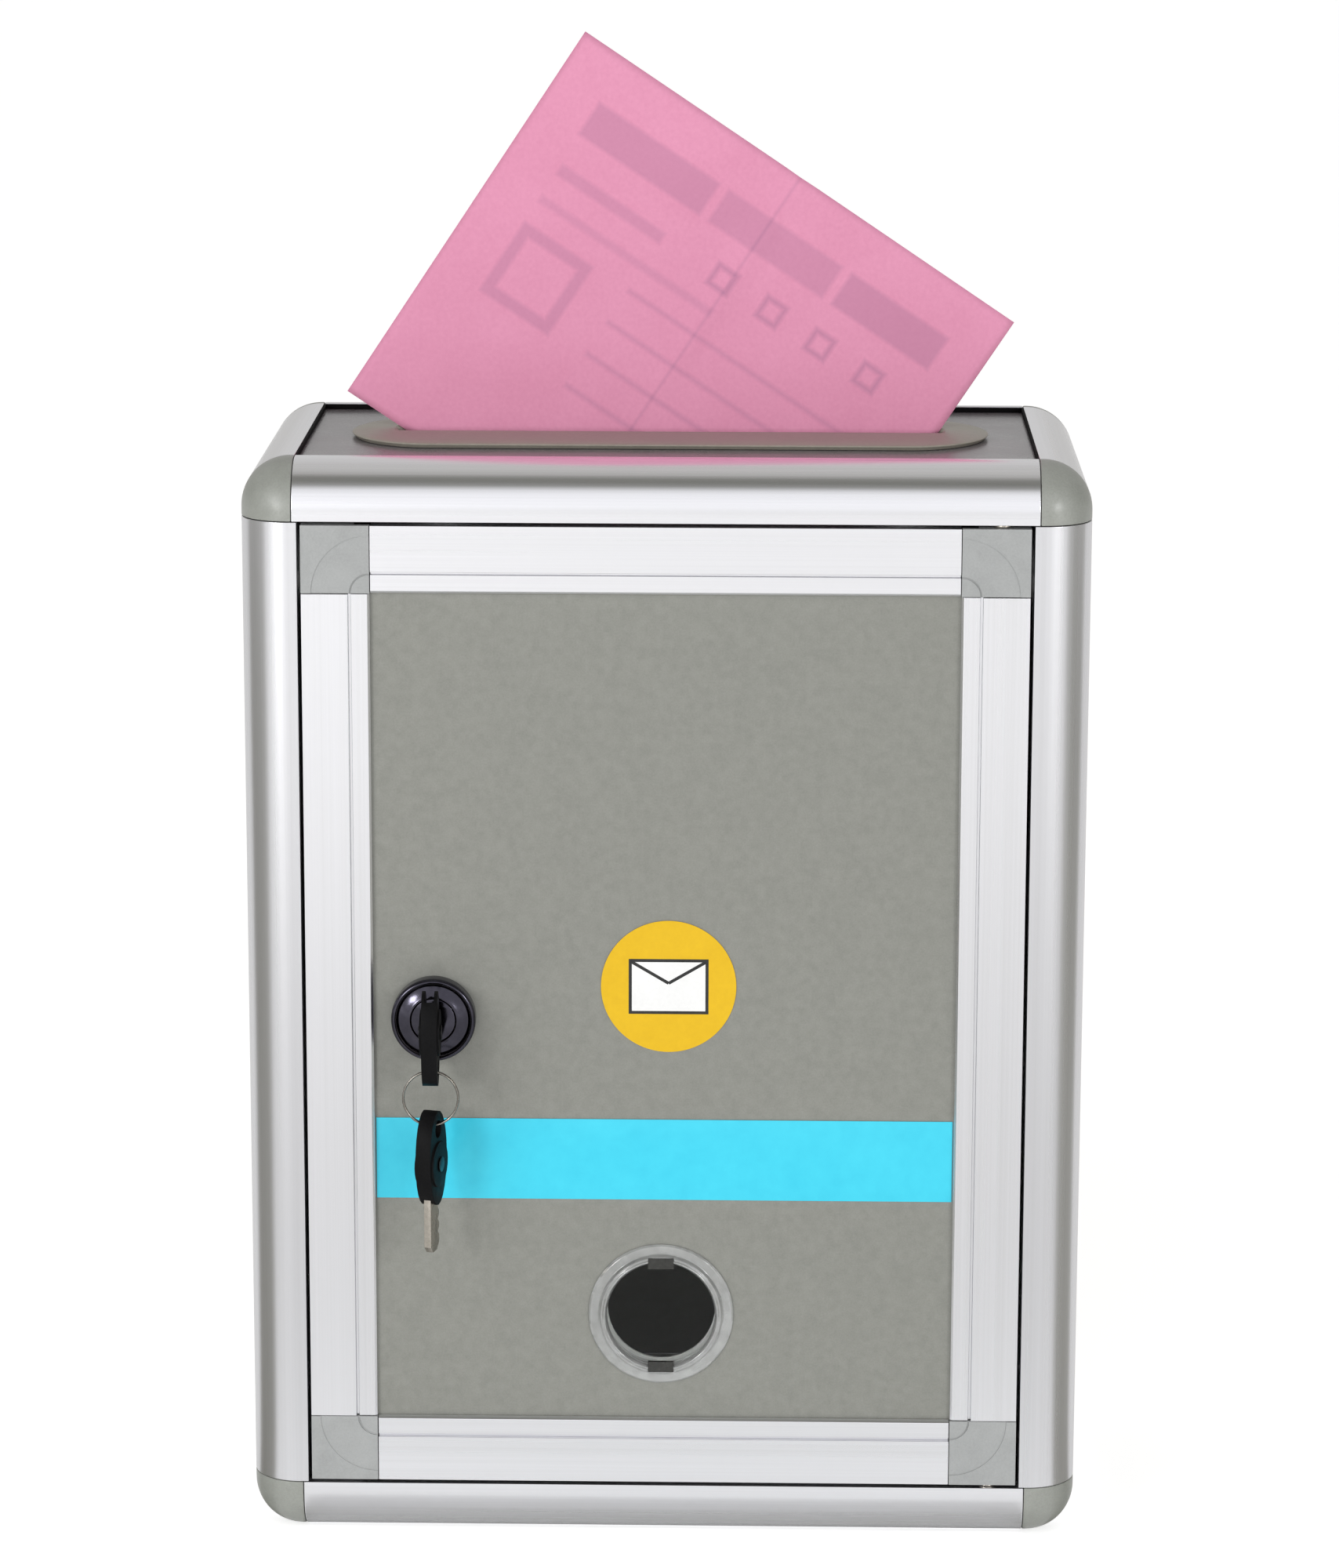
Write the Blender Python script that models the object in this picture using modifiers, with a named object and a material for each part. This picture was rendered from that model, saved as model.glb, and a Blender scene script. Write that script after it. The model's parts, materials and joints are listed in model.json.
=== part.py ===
"""Suggestion box: an aluminium-railed case with a flush front door, a cam lock, a window and a posting slot.

Metres, +Z up. The front faces -Y. The origin is the centre of the footprint, on the plane it stands on.
"""

from math import asin, cos, pi, radians, sin, tan

import bmesh
import bpy
from mathutils import Matrix, Vector

# Driving dimensions of the case
CASE_WIDTH = 0.240
CASE_HEIGHT = 0.317
CASE_DEPTH = 0.130

# Rails: hollow aluminium sections with a round outer edge
EDGE_RADIUS = 0.014
SKIN_REACH = 0.015
DOOR_SIDE_FACE = 0.0166
WALL = 0.0013
EDGE_STEPS = 8

# Case panels, let into grooves of the rails
PANEL_THICKNESS = 0.003
PANEL_RECESS = 0.0018
GROOVE_DEPTH = 0.004

# Door frame and door panel
DOOR_GAP = 0.0010
MEMBER_WIDTH = 0.0193
DOOR_THICKNESS = 0.010
DOOR_PANEL_RECESS = 0.0025
DOOR_PANEL_THICKNESS = 0.003

# Clearances: in a joint of the frame, round a seated piece, and under one that lies on a face
SEAM = 0.0002
SEAT = 0.0003
TOUCH = 0.0001

# How far a cutter reaches past what it cuts, and how near points are welded
OVERRUN = 0.002
WELD = 0.000002

X = Vector((1, 0, 0))
Y = Vector((0, 1, 0))
Z = Vector((0, 0, 1))

# Faces of the case and of the door
LEFT, RIGHT = -CASE_WIDTH / 2, CASE_WIDTH / 2
FRONT, BACK = -CASE_DEPTH / 2, CASE_DEPTH / 2
BOTTOM, TOP = 0.0, CASE_HEIGHT
DOOR_LEFT, DOOR_RIGHT = LEFT + DOOR_SIDE_FACE + DOOR_GAP, RIGHT - DOOR_SIDE_FACE - DOOR_GAP
DOOR_BOTTOM, DOOR_TOP = BOTTOM + DOOR_SIDE_FACE + DOOR_GAP, TOP - DOOR_SIDE_FACE - DOOR_GAP

# Each face with the way in from it
SIDES = {"left": (LEFT, X), "right": (RIGHT, -X)}
ENDS = {"front": (FRONT, Y), "back": (BACK, -Y)}
LEVELS = {"top": (TOP, -Z), "bottom": (BOTTOM, Z)}

for old in list(bpy.data.objects):
    bpy.data.objects.remove(old, do_unlink=True)

part_collection = bpy.data.collections.new("suggestion_box")
cutter_collection = bpy.data.collections.new("cutters")
bpy.context.scene.collection.children.link(part_collection)
bpy.context.scene.collection.children.link(cutter_collection)
cutter_collection.hide_render = True


def make_material(name, colour, roughness, metallic=0.0, alpha=1.0):
    material = bpy.data.materials.new(name)
    material.use_nodes = True
    shader = material.node_tree.nodes["Principled BSDF"]
    shader.inputs["Base Color"].default_value = (*colour, 1.0)
    shader.inputs["Roughness"].default_value = roughness
    shader.inputs["Metallic"].default_value = metallic
    shader.inputs["Alpha"].default_value = alpha
    return material


ALUMINIUM = make_material("satin_aluminium", (0.80, 0.80, 0.82), 0.35, 1.0)
CORNER_GREY = make_material("grey_moulding", (0.42, 0.43, 0.41), 0.5)
PANEL_GREY = make_material("grey_panel", (0.30, 0.30, 0.28), 0.45)
TRIM_GREY = make_material("slot_trim", (0.34, 0.32, 0.27), 0.35)
STEEL = make_material("steel", (0.62, 0.62, 0.60), 0.3, 1.0)
DARK_CHROME = make_material("dark_chrome", (0.30, 0.30, 0.33), 0.15, 1.0)
BLACK_PLASTIC = make_material("black_plastic", (0.02, 0.02, 0.022), 0.4)
CLEAR_PLASTIC = make_material("clear_plastic", (0.85, 0.87, 0.86), 0.08, 0.0, 0.35)
BLUE_FILM = make_material("blue_film", (0.03, 0.55, 0.85), 0.35)
YELLOW_FILM = make_material("yellow_film", (0.92, 0.62, 0.03), 0.4)
PINK_PAPER = make_material("pink_paper", (0.90, 0.40, 0.60), 0.8)


def add_bmesh(name, shape, material, smooth=False):
    """Makes an object of the part from a finished bmesh."""
    bmesh.ops.recalc_face_normals(shape, faces=shape.faces)
    mesh = bpy.data.meshes.new(name)
    shape.to_mesh(mesh)
    shape.free()
    mesh.materials.append(material)
    if smooth:
        mesh.shade_smooth()
        mesh.set_sharp_from_angle(angle=pi / 6)
    item = bpy.data.objects.new(name, mesh)
    part_collection.objects.link(item)
    return item


def combine(target, helper, operation):
    part_collection.objects.unlink(helper)
    cutter_collection.objects.link(helper)
    helper.hide_render = True
    helper.display_type = "WIRE"
    modifier = target.modifiers.new(helper.name, "BOOLEAN")
    modifier.operation = operation
    modifier.solver = "MANIFOLD"
    modifier.object = helper


def cut(target, *cutters):
    for cutter in cutters:
        combine(target, cutter, "DIFFERENCE")


def unite(target, *others):
    for other in others:
        combine(target, other, "UNION")


def box(name, low, high, material=PANEL_GREY):
    """A block between two corners, given in any order."""
    low, high = Vector(low), Vector(high)
    shape = bmesh.new()
    bmesh.ops.create_cube(shape, size=1)
    bmesh.ops.scale(shape, vec=high - low, verts=shape.verts)
    bmesh.ops.translate(shape, vec=(low + high) / 2, verts=shape.verts)
    return add_bmesh(name, shape, material)


def block(name, middle, spans, material=PANEL_GREY):
    """A block about its middle, from the three spans that its edges have."""
    shape = bmesh.new()
    bmesh.ops.create_cube(shape, size=1)
    place = Matrix.Translation(middle) @ Matrix(spans).transposed().to_4x4()
    bmesh.ops.transform(shape, matrix=place, verts=shape.verts)
    return add_bmesh(name, shape, material)


def cylinder(name, radius, start, end, material=PANEL_GREY, steps=24):
    """A round bar from one point to another."""
    start, end = Vector(start), Vector(end)
    turn = Z.rotation_difference(end - start).to_matrix().to_4x4()
    shape = bmesh.new()
    bmesh.ops.create_cone(
        shape,
        cap_ends=True,
        segments=steps,
        radius1=radius,
        radius2=radius,
        depth=(end - start).length,
        matrix=Matrix.Translation((start + end) / 2) @ turn,
    )
    return add_bmesh(name, shape, material, smooth=True)


def evaluated_bmesh(guide):
    """The mesh that a curve or a Screw makes, welded. The guide is removed."""
    part_collection.objects.link(guide)
    graph = bpy.context.evaluated_depsgraph_get()
    mesh = bpy.data.meshes.new_from_object(guide.evaluated_get(graph))
    bpy.data.objects.remove(guide, do_unlink=True)
    shape = bmesh.new()
    shape.from_mesh(mesh)
    bpy.data.meshes.remove(mesh)
    bmesh.ops.remove_doubles(shape, verts=shape.verts, dist=WELD)
    return shape


def extrusion(name, loops, at, across, up, length, material, smooth=False):
    """A flat outline, with any holes in it, pulled to a length about the point at."""
    curve = bpy.data.curves.new(name, "CURVE")
    curve.dimensions = "2D"
    curve.fill_mode = "BOTH"
    curve.extrude = length / 2
    for loop in loops:
        spline = curve.splines.new("POLY")
        spline.points.add(len(loop) - 1)
        for point, (u, v) in zip(spline.points, loop):
            point.co = (u, v, 0, 1)
        spline.use_cyclic_u = True
    shape = evaluated_bmesh(bpy.data.objects.new(name + "_curve", curve))
    axes = Matrix((across, up, across.cross(up))).transposed().to_4x4()
    bmesh.ops.transform(shape, matrix=Matrix.Translation(at) @ axes, verts=shape.verts)
    return add_bmesh(name, shape, material, smooth)


def turned(name, profile, at, axis, material, steps=32, closed=True):
    """A profile of (radius, height) points, turned about the axis through the point at."""
    mesh = bpy.data.meshes.new(name)
    shape = bmesh.new()
    points = [shape.verts.new((radius, 0, height)) for radius, height in profile]
    following = points[1:] + points[:1] if closed else points[1:]
    for start, end in zip(points, following):
        shape.edges.new((start, end))
    shape.to_mesh(mesh)
    shape.free()
    guide = bpy.data.objects.new(name + "_profile", mesh)
    screw = guide.modifiers.new("turn", "SCREW")
    screw.steps = screw.render_steps = steps
    screw.use_merge_vertices = True
    screw.merge_threshold = WELD
    shape = evaluated_bmesh(guide)
    turn = Z.rotation_difference(axis).to_matrix().to_4x4()
    bmesh.ops.transform(shape, matrix=Matrix.Translation(at) @ turn, verts=shape.verts)
    return add_bmesh(name, shape, material, smooth=True)


def stepped(name, outline, height, rises, material, way=1):
    """A flat outline at a height, built up, or down with way -1, by steps of (inset, rise)."""
    shape = bmesh.new()
    base = shape.faces.new([shape.verts.new((x, y, height)) for x, y in outline])
    base.normal_update()
    if base.normal.z * way < 0:
        base.normal_flip()
    lifted = bmesh.ops.extrude_face_region(shape, geom=[base])["geom"]
    top = next(item for item in lifted if isinstance(item, bmesh.types.BMFace))
    bmesh.ops.translate(shape, vec=Z * rises[0][1] * way, verts=top.verts)
    for inset, rise in rises[1:]:
        bmesh.ops.recalc_face_normals(shape, faces=shape.faces)
        bmesh.ops.inset_region(
            shape, faces=[top], thickness=inset, depth=rise, use_boundary=True, use_even_offset=True
        )
    return add_bmesh(name, shape, material, smooth=True)


def arc(centre, radius, start, end, steps):
    """Points on an arc between two angles, both ends kept."""
    angles = [start + (end - start) * i / steps for i in range(steps + 1)]
    return [(centre[0] + radius * cos(a), centre[1] + radius * sin(a)) for a in angles]


def circle(centre, radius, steps):
    return arc(centre, radius, 0, 2 * pi, steps)[:-1]


def rounded_rectangle(half_length, half_width, radius, steps):
    x, y = half_length - radius, half_width - radius
    points = []
    for i, corner in enumerate(((x, y), (-x, y), (-x, -y), (x, -y))):
        points += arc(corner, radius, i * pi / 2, (i + 1) * pi / 2, steps)
    return points


# Rail sections. The first number runs in from one face of the case, the second in from the other,
# and on the rails around the door from the front.
GROOVE_OUT = PANEL_RECESS - SEAT
GROOVE_IN = PANEL_RECESS + PANEL_THICKNESS + SEAT
GROOVE_BOTTOM = SKIN_REACH - GROOVE_DEPTH
GROOVE_LIP = GROOVE_IN + WALL
CHAMBER_END = GROOVE_BOTTOM - WALL
ROUND_CENTRE = (EDGE_RADIUS, EDGE_RADIUS)
SKIN = arc(ROUND_CENTRE, EDGE_RADIUS, -pi / 2, -pi, EDGE_STEPS)


def inner_skin(fit, start, end):
    """The inside of the round edge, between two distances from the case's faces."""
    radius = EDGE_RADIUS - WALL - fit
    first = -pi / 2 - asin((EDGE_RADIUS - start) / radius)
    last = -pi + asin((EDGE_RADIUS - end) / radius)
    return arc(ROUND_CENTRE, radius, first, last, EDGE_STEPS)


def plain_chamber(fit):
    """The hollow of a plain rail or, with a fit, the leg that fills it."""
    end = CHAMBER_END - fit
    return [*inner_skin(fit, end, end), (end, end)]


def door_side_chamber(fit, face):
    """The hollow of a rail beside the door or, with a fit, the leg that fills it."""
    end = CHAMBER_END - fit
    far = face - WALL - fit
    back = SKIN_REACH - WALL - fit
    skin = inner_skin(fit, min(far, EDGE_RADIUS), end)
    if far > EDGE_RADIUS:
        skin.insert(0, (far, WALL + fit))
    return [*skin, (GROOVE_LIP + fit, end), (GROOVE_LIP + fit, back), (far, back)]


PLAIN_SECTION = [
    [
        (SKIN_REACH, 0),
        *SKIN,
        (0, SKIN_REACH),
        (GROOVE_OUT, SKIN_REACH),
        (GROOVE_OUT, GROOVE_BOTTOM),
        (GROOVE_IN, GROOVE_BOTTOM),
        (GROOVE_IN, SKIN_REACH),
        (GROOVE_LIP, SKIN_REACH),
        (GROOVE_LIP, GROOVE_BOTTOM),
        (GROOVE_BOTTOM, GROOVE_BOTTOM),
        (GROOVE_BOTTOM, GROOVE_LIP),
        (SKIN_REACH, GROOVE_LIP),
        (SKIN_REACH, GROOVE_IN),
        (GROOVE_BOTTOM, GROOVE_IN),
        (GROOVE_BOTTOM, GROOVE_OUT),
        (SKIN_REACH, GROOVE_OUT),
    ],
    plain_chamber(0),
]
DOOR_SIDE_SECTION = [
    [
        (DOOR_SIDE_FACE, 0),
        *SKIN,
        (0, SKIN_REACH),
        (GROOVE_OUT, SKIN_REACH),
        (GROOVE_OUT, GROOVE_BOTTOM),
        (GROOVE_IN, GROOVE_BOTTOM),
        (GROOVE_IN, SKIN_REACH),
        (DOOR_SIDE_FACE, SKIN_REACH),
    ],
    door_side_chamber(0, DOOR_SIDE_FACE),
]
MIDDLE_HEIGHT = (BOTTOM + TOP) / 2


def rail(name, section, middle, across, up, space):
    """A rail centred on its outer corner line, with a seam at each end of its space."""
    length = space - 2 * SEAM
    return extrusion(name, section, Vector(middle), across, up, length, ALUMINIUM, smooth=True)


across_space = CASE_WIDTH - 2 * SKIN_REACH
depth_space = CASE_DEPTH - 2 * SKIN_REACH
back_upright_space = CASE_HEIGHT - 2 * SKIN_REACH
front_upright_space = CASE_HEIGHT - 2 * DOOR_SIDE_FACE
front_cross_rails = {}
for level, (z, inward) in LEVELS.items():
    front_cross_rails[level] = rail(
        f"front_{level}_rail", DOOR_SIDE_SECTION, (0, FRONT, z), inward, Y, across_space
    )
    rail(f"back_{level}_rail", PLAIN_SECTION, (0, BACK, z), inward, -Y, across_space)
for side, (x, inward) in SIDES.items():
    front = (x, FRONT, MIDDLE_HEIGHT)
    back = (x, BACK, MIDDLE_HEIGHT)
    rail(f"front_{side}_rail", DOOR_SIDE_SECTION, front, inward, Y, front_upright_space)
    rail(f"back_{side}_rail", PLAIN_SECTION, back, inward, -Y, back_upright_space)
    for level, (z, to_level) in LEVELS.items():
        rail(f"{level}_{side}_rail", PLAIN_SECTION, (x, 0, z), inward, to_level, depth_space)

# Corner pieces: moulded blocks with a ball corner, slots for the panels and a leg in each rail
LEG_REACH = 0.008


def corner_piece(name, corner, inward, height, door_side):
    size = Vector((SKIN_REACH, SKIN_REACH, height))
    shape = bmesh.new()
    bmesh.ops.create_cube(shape, size=1)
    bmesh.ops.scale(shape, vec=size, verts=shape.verts)
    bmesh.ops.translate(shape, vec=size / 2, verts=shape.verts)
    outer = min(shape.verts, key=lambda vert: vert.co.length)
    bmesh.ops.bevel(
        shape,
        geom=list(outer.link_edges),
        offset=EDGE_RADIUS,
        offset_type="OFFSET",
        affect="EDGES",
        segments=EDGE_STEPS,
        profile=0.5,
        material=-1,
    )
    place = Matrix.Translation(corner) @ Matrix(inward).transposed().to_4x4()
    bmesh.ops.transform(shape, matrix=place, verts=shape.verts)
    piece = add_bmesh(name, shape, CORNER_GREY, smooth=True)

    for axis in range(3):
        if door_side and axis == 1:
            continue
        low = [GROOVE_BOTTOM] * 3
        high = [reach + OVERRUN for reach in size]
        low[axis], high[axis] = GROOVE_OUT, GROOVE_IN
        cut(piece, box(f"{name}_slot_{axis}", place @ Vector(low), place @ Vector(high)))

    to_side, to_end, to_level = inward
    legs = ((0, to_level, to_end), (1, to_side, to_level), (2, to_side, to_end))
    length = LEG_REACH + OVERRUN
    for axis, across, up in legs:
        if door_side and axis != 1:
            outline = door_side_chamber(SEAT, SKIN_REACH)
        else:
            outline = plain_chamber(SEAT)
        middle = corner + inward[axis] * (size[axis] + LEG_REACH - length / 2)
        leg_name = f"{name}_leg_{axis}"
        unite(piece, extrusion(leg_name, [outline], middle, across, up, length, CORNER_GREY))


for end, (y, to_end) in ENDS.items():
    for level, (z, to_level) in LEVELS.items():
        for side, (x, to_side) in SIDES.items():
            corner_piece(
                f"corner_{end}_{level}_{side}",
                Vector((x, y, z)),
                (to_side, to_end, to_level),
                DOOR_SIDE_FACE if end == "front" else SKIN_REACH,
                door_side=end == "front",
            )

# Case panels, their edges in the grooves
PANEL_EDGE = GROOVE_BOTTOM + SEAT
PANEL_BACK = PANEL_RECESS + PANEL_THICKNESS
panels = {}
for side, (x, inward) in SIDES.items():
    low = (x + PANEL_RECESS * inward.x, FRONT + PANEL_EDGE, BOTTOM + PANEL_EDGE)
    high = (x + PANEL_BACK * inward.x, BACK - PANEL_EDGE, TOP - PANEL_EDGE)
    panels[side] = box(f"{side}_panel", low, high, PANEL_GREY)
for level, (z, inward) in LEVELS.items():
    low = (LEFT + PANEL_EDGE, FRONT + PANEL_EDGE, z + PANEL_RECESS * inward.z)
    high = (RIGHT - PANEL_EDGE, BACK - PANEL_EDGE, z + PANEL_BACK * inward.z)
    panels[level] = box(f"{level}_panel", low, high, PANEL_GREY)
panels["back"] = box(
    "back_panel",
    (LEFT + PANEL_EDGE, BACK - PANEL_BACK, BOTTOM + PANEL_EDGE),
    (RIGHT - PANEL_EDGE, BACK - PANEL_RECESS, TOP - PANEL_EDGE),
    PANEL_GREY,
)

# Keyholes in the back panel, to hang the box on two screws
KEYHOLE_SPACING = 0.140
KEYHOLE_DROP = 0.055
KEYHOLE_RADIUS = 0.0045
KEYHOLE_NECK = 0.0050
KEYHOLE_RISE = 0.009
for side, (_, inward) in SIDES.items():
    x = -inward.x * KEYHOLE_SPACING / 2
    z = TOP - KEYHOLE_DROP
    outside, inside = BACK - PANEL_RECESS + OVERRUN, BACK - PANEL_BACK - OVERRUN
    entry = cylinder(f"keyhole_{side}", KEYHOLE_RADIUS, (x, outside, z), (x, inside, z))
    neck_low = (x - KEYHOLE_NECK / 2, outside, z)
    neck_high = (x + KEYHOLE_NECK / 2, inside, z + KEYHOLE_RISE)
    cut(panels["back"], entry, box(f"keyhole_neck_{side}", neck_low, neck_high))

# Posting slot: a long low moulding on the top panel, with a sleeve through it
RIM_FROM_SIDE = 0.0275
RIM_WIDTH = 0.054
RIM_END = 0.018
RIM_END_STEPS = 14
RIM_EDGE = 0.0011
RIM_HEIGHT = 0.0021
RIM_DOME_REACH = 0.0085
RIM_DOME_STEPS = 5
RIM_LIP = 0.0008
SLOT_FROM_RIM_END = 0.0133
SLOT_WIDTH = 0.0080
SLOT_CORNER = 0.0015
SLEEVE_WALL = 0.0015
SLEEVE_DROP = 0.0085
BARB_LENGTH = 0.008
BARB_STEP = 0.0010
BARB_HEIGHT = 0.0025
BARB_SPACING = 0.100
rim_length = CASE_WIDTH - 2 * RIM_FROM_SIDE
slot_length = rim_length - 2 * SLOT_FROM_RIM_END
rim_base = TOP - PANEL_RECESS + TOUCH
rim_crest = TOP - PANEL_RECESS + RIM_HEIGHT
dome_rise = rim_crest - rim_base - RIM_EDGE
sleeve_top = rim_base + RIM_EDGE
sleeve_end = TOP - PANEL_BACK - SLEEVE_DROP


def slot_outline(grow):
    return rounded_rectangle(slot_length / 2 + grow, SLOT_WIDTH / 2 + grow, SLOT_CORNER + grow, steps=3)


rim_rises = [(0, RIM_EDGE)]
for i in range(RIM_DOME_STEPS):
    start, end = pi / 2 * i / RIM_DOME_STEPS, pi / 2 * (i + 1) / RIM_DOME_STEPS
    inset = RIM_DOME_REACH * (cos(start) - cos(end))
    rim_rises.append((inset, dome_rise * (sin(end) - sin(start))))
rim_run = rim_length / 2 - RIM_END
rim_end = arc((0, 0), 1, -pi / 2, pi / 2, RIM_END_STEPS)
rim_outline = [(rim_run + u * RIM_END, v * RIM_WIDTH / 2) for u, v in rim_end]
rim_outline += [(-x, -y) for x, y in rim_outline]
slot_rim = stepped("slot_rim", rim_outline, rim_base, rim_rises, TRIM_GREY)
sleeve_middle = Vector((0, 0, (sleeve_top + sleeve_end) / 2))
sleeve = extrusion(
    "sleeve", [slot_outline(SLEEVE_WALL)], sleeve_middle, X, Y, sleeve_top - sleeve_end, TRIM_GREY
)
unite(slot_rim, sleeve)
barb_top = TOP - PANEL_BACK - SEAT
barb_reach = SLOT_WIDTH / 2 + SLEEVE_WALL + BARB_STEP
for i, (x, side) in enumerate(((-1, -1), (1, -1), (-1, 1), (1, 1))):
    middle = x * BARB_SPACING / 2
    low = (middle - BARB_LENGTH / 2, side * SLOT_WIDTH / 2, barb_top - BARB_HEIGHT)
    high = (middle + BARB_LENGTH / 2, side * barb_reach, barb_top)
    unite(slot_rim, box(f"barb_{i}", low, high, TRIM_GREY))
through = rim_crest - RIM_LIP - sleeve_end + OVERRUN
slot_rises = [(0, OVERRUN), (RIM_LIP, RIM_LIP), (0, through)]
slot_cutter = stepped(
    "slot_cutter", slot_outline(RIM_LIP), rim_crest + OVERRUN, slot_rises, TRIM_GREY, way=-1
)
cut(slot_rim, slot_cutter)
panel_slot = extrusion(
    "panel_slot",
    [slot_outline(SLEEVE_WALL + SEAT)],
    Vector((0, 0, TOP - (PANEL_RECESS + PANEL_BACK) / 2)),
    X,
    Y,
    PANEL_THICKNESS + 2 * OVERRUN,
    PANEL_GREY,
)
cut(panels["top"], panel_slot)

# Slip: a sheet standing askew in the slot, its two lower edges on the slot's ends
SLIP_LENGTH = 0.1496
SLIP_WIDTH = 0.1250
SLIP_THICKNESS = 0.0003
SLIP_TILT = radians(33.7)
SLIP_BACK_GAP = 0.0006
slip_span = slot_length - 2 * SEAT
slip_drop = slip_span * sin(SLIP_TILT) * cos(SLIP_TILT)
slip_foot = -slip_span / 2 + slip_drop / tan(SLIP_TILT)
slip_y = SLOT_WIDTH / 2 - SLIP_BACK_GAP - SLIP_THICKNESS / 2
suggestion_slip = extrusion(
    "suggestion_slip",
    [[(0, 0), (SLIP_LENGTH, 0), (SLIP_LENGTH, SLIP_WIDTH), (0, SLIP_WIDTH)]],
    Vector((slip_foot, slip_y, rim_crest - slip_drop)),
    Vector((-cos(SLIP_TILT), 0, sin(SLIP_TILT))),
    Vector((sin(SLIP_TILT), 0, cos(SLIP_TILT))),
    SLIP_THICKNESS,
    PINK_PAPER,
)

# Door members: one stepped hollow section around a grooved panel. The first number runs in from
# the door's edge, the second back from its front.
MEMBER_FLAT = 0.0132
SHADOW_WIDTH = 0.0008
SHADOW_DEPTH = 0.0008
STRIP_DROP = 0.0005
STRIP_CHAMFER = 0.0007
EDGE_BREAK = 0.0004
MEMBER_BODY = 0.0130
DOOR_GROOVE_BOTTOM = 0.0145
REAR_LIP = 0.0170
DOOR_GROOVE_FRONT = DOOR_PANEL_RECESS - SEAT
DOOR_GROOVE_BACK = DOOR_PANEL_RECESS + DOOR_PANEL_THICKNESS + SEAT
MEMBER_SECTION = [
    [
        (EDGE_BREAK, 0),
        (MEMBER_FLAT, 0),
        (MEMBER_FLAT, SHADOW_DEPTH),
        (MEMBER_FLAT + SHADOW_WIDTH, SHADOW_DEPTH),
        (MEMBER_FLAT + SHADOW_WIDTH, STRIP_DROP),
        (MEMBER_WIDTH - STRIP_CHAMFER, STRIP_DROP),
        (MEMBER_WIDTH, STRIP_DROP + STRIP_CHAMFER),
        (MEMBER_WIDTH, DOOR_GROOVE_FRONT),
        (DOOR_GROOVE_BOTTOM, DOOR_GROOVE_FRONT),
        (DOOR_GROOVE_BOTTOM, DOOR_GROOVE_BACK),
        (REAR_LIP, DOOR_GROOVE_BACK),
        (REAR_LIP, DOOR_GROOVE_BACK + WALL),
        (MEMBER_BODY, DOOR_GROOVE_BACK + WALL),
        (MEMBER_BODY, DOOR_THICKNESS),
        (0, DOOR_THICKNESS),
        (0, EDGE_BREAK),
    ],
    [
        (WALL, WALL),
        (MEMBER_BODY - WALL, WALL),
        (MEMBER_BODY - WALL, DOOR_THICKNESS - WALL),
        (WALL, DOOR_THICKNESS - WALL),
    ],
]
DOOR_SIDES = {"left": (DOOR_LEFT, X), "right": (DOOR_RIGHT, -X)}
DOOR_LEVELS = {"top": (DOOR_TOP, -Z), "bottom": (DOOR_BOTTOM, Z)}
door_items = []
for level, (z, inward) in DOOR_LEVELS.items():
    space = DOOR_RIGHT - DOOR_LEFT - 2 * MEMBER_WIDTH
    middle = ((DOOR_LEFT + DOOR_RIGHT) / 2, FRONT, z)
    door_items.append(rail(f"door_{level}_member", MEMBER_SECTION, middle, inward, Y, space))
for side, (x, inward) in DOOR_SIDES.items():
    space = DOOR_TOP - DOOR_BOTTOM - 2 * MEMBER_WIDTH
    middle = (x, FRONT, (DOOR_BOTTOM + DOOR_TOP) / 2)
    door_items.append(rail(f"door_{side}_member", MEMBER_SECTION, middle, inward, Y, space))

# Door corner pieces: a square cap over a block, with a leg in each member
LEG_LOW = WALL + SEAT
LEG_WIDE = MEMBER_BODY - WALL - SEAT
LEG_DEEP = DOOR_THICKNESS - WALL - SEAT
LEG_SECTION = [(LEG_LOW, LEG_LOW), (LEG_WIDE, LEG_LOW), (LEG_WIDE, LEG_DEEP), (LEG_LOW, LEG_DEEP)]


def door_corner_piece(name, corner, to_side, to_level):
    def layer(suffix, width, front, back):
        """A square block of the piece, between two depths."""
        far = corner + (to_side + to_level) * width
        return box(name + suffix, corner + Y * front, far + Y * back, CORNER_GREY)

    def leg(suffix, way, across):
        length = LEG_REACH + OVERRUN
        middle = corner + way * (MEMBER_WIDTH + LEG_REACH - length / 2)
        return extrusion(name + suffix, [LEG_SECTION], middle, across, Y, length, CORNER_GREY)

    piece = layer("", MEMBER_WIDTH, 0, DOOR_GROOVE_FRONT)
    unite(
        piece,
        layer("_block", DOOR_GROOVE_BOTTOM, STRIP_DROP, DOOR_THICKNESS),
        layer("_rear", REAR_LIP, DOOR_GROOVE_BACK, DOOR_GROOVE_BACK + WALL),
        leg("_leg_x", to_side, to_level),
        leg("_leg_z", to_level, to_side),
    )
    return piece


door_corners = {}
for level, (z, to_level) in DOOR_LEVELS.items():
    for side, (x, to_side) in DOOR_SIDES.items():
        name = f"door_corner_{level}_{side}"
        piece = door_corner_piece(name, Vector((x, FRONT, z)), to_side, to_level)
        door_corners[level, side] = piece
        door_items.append(piece)

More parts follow.
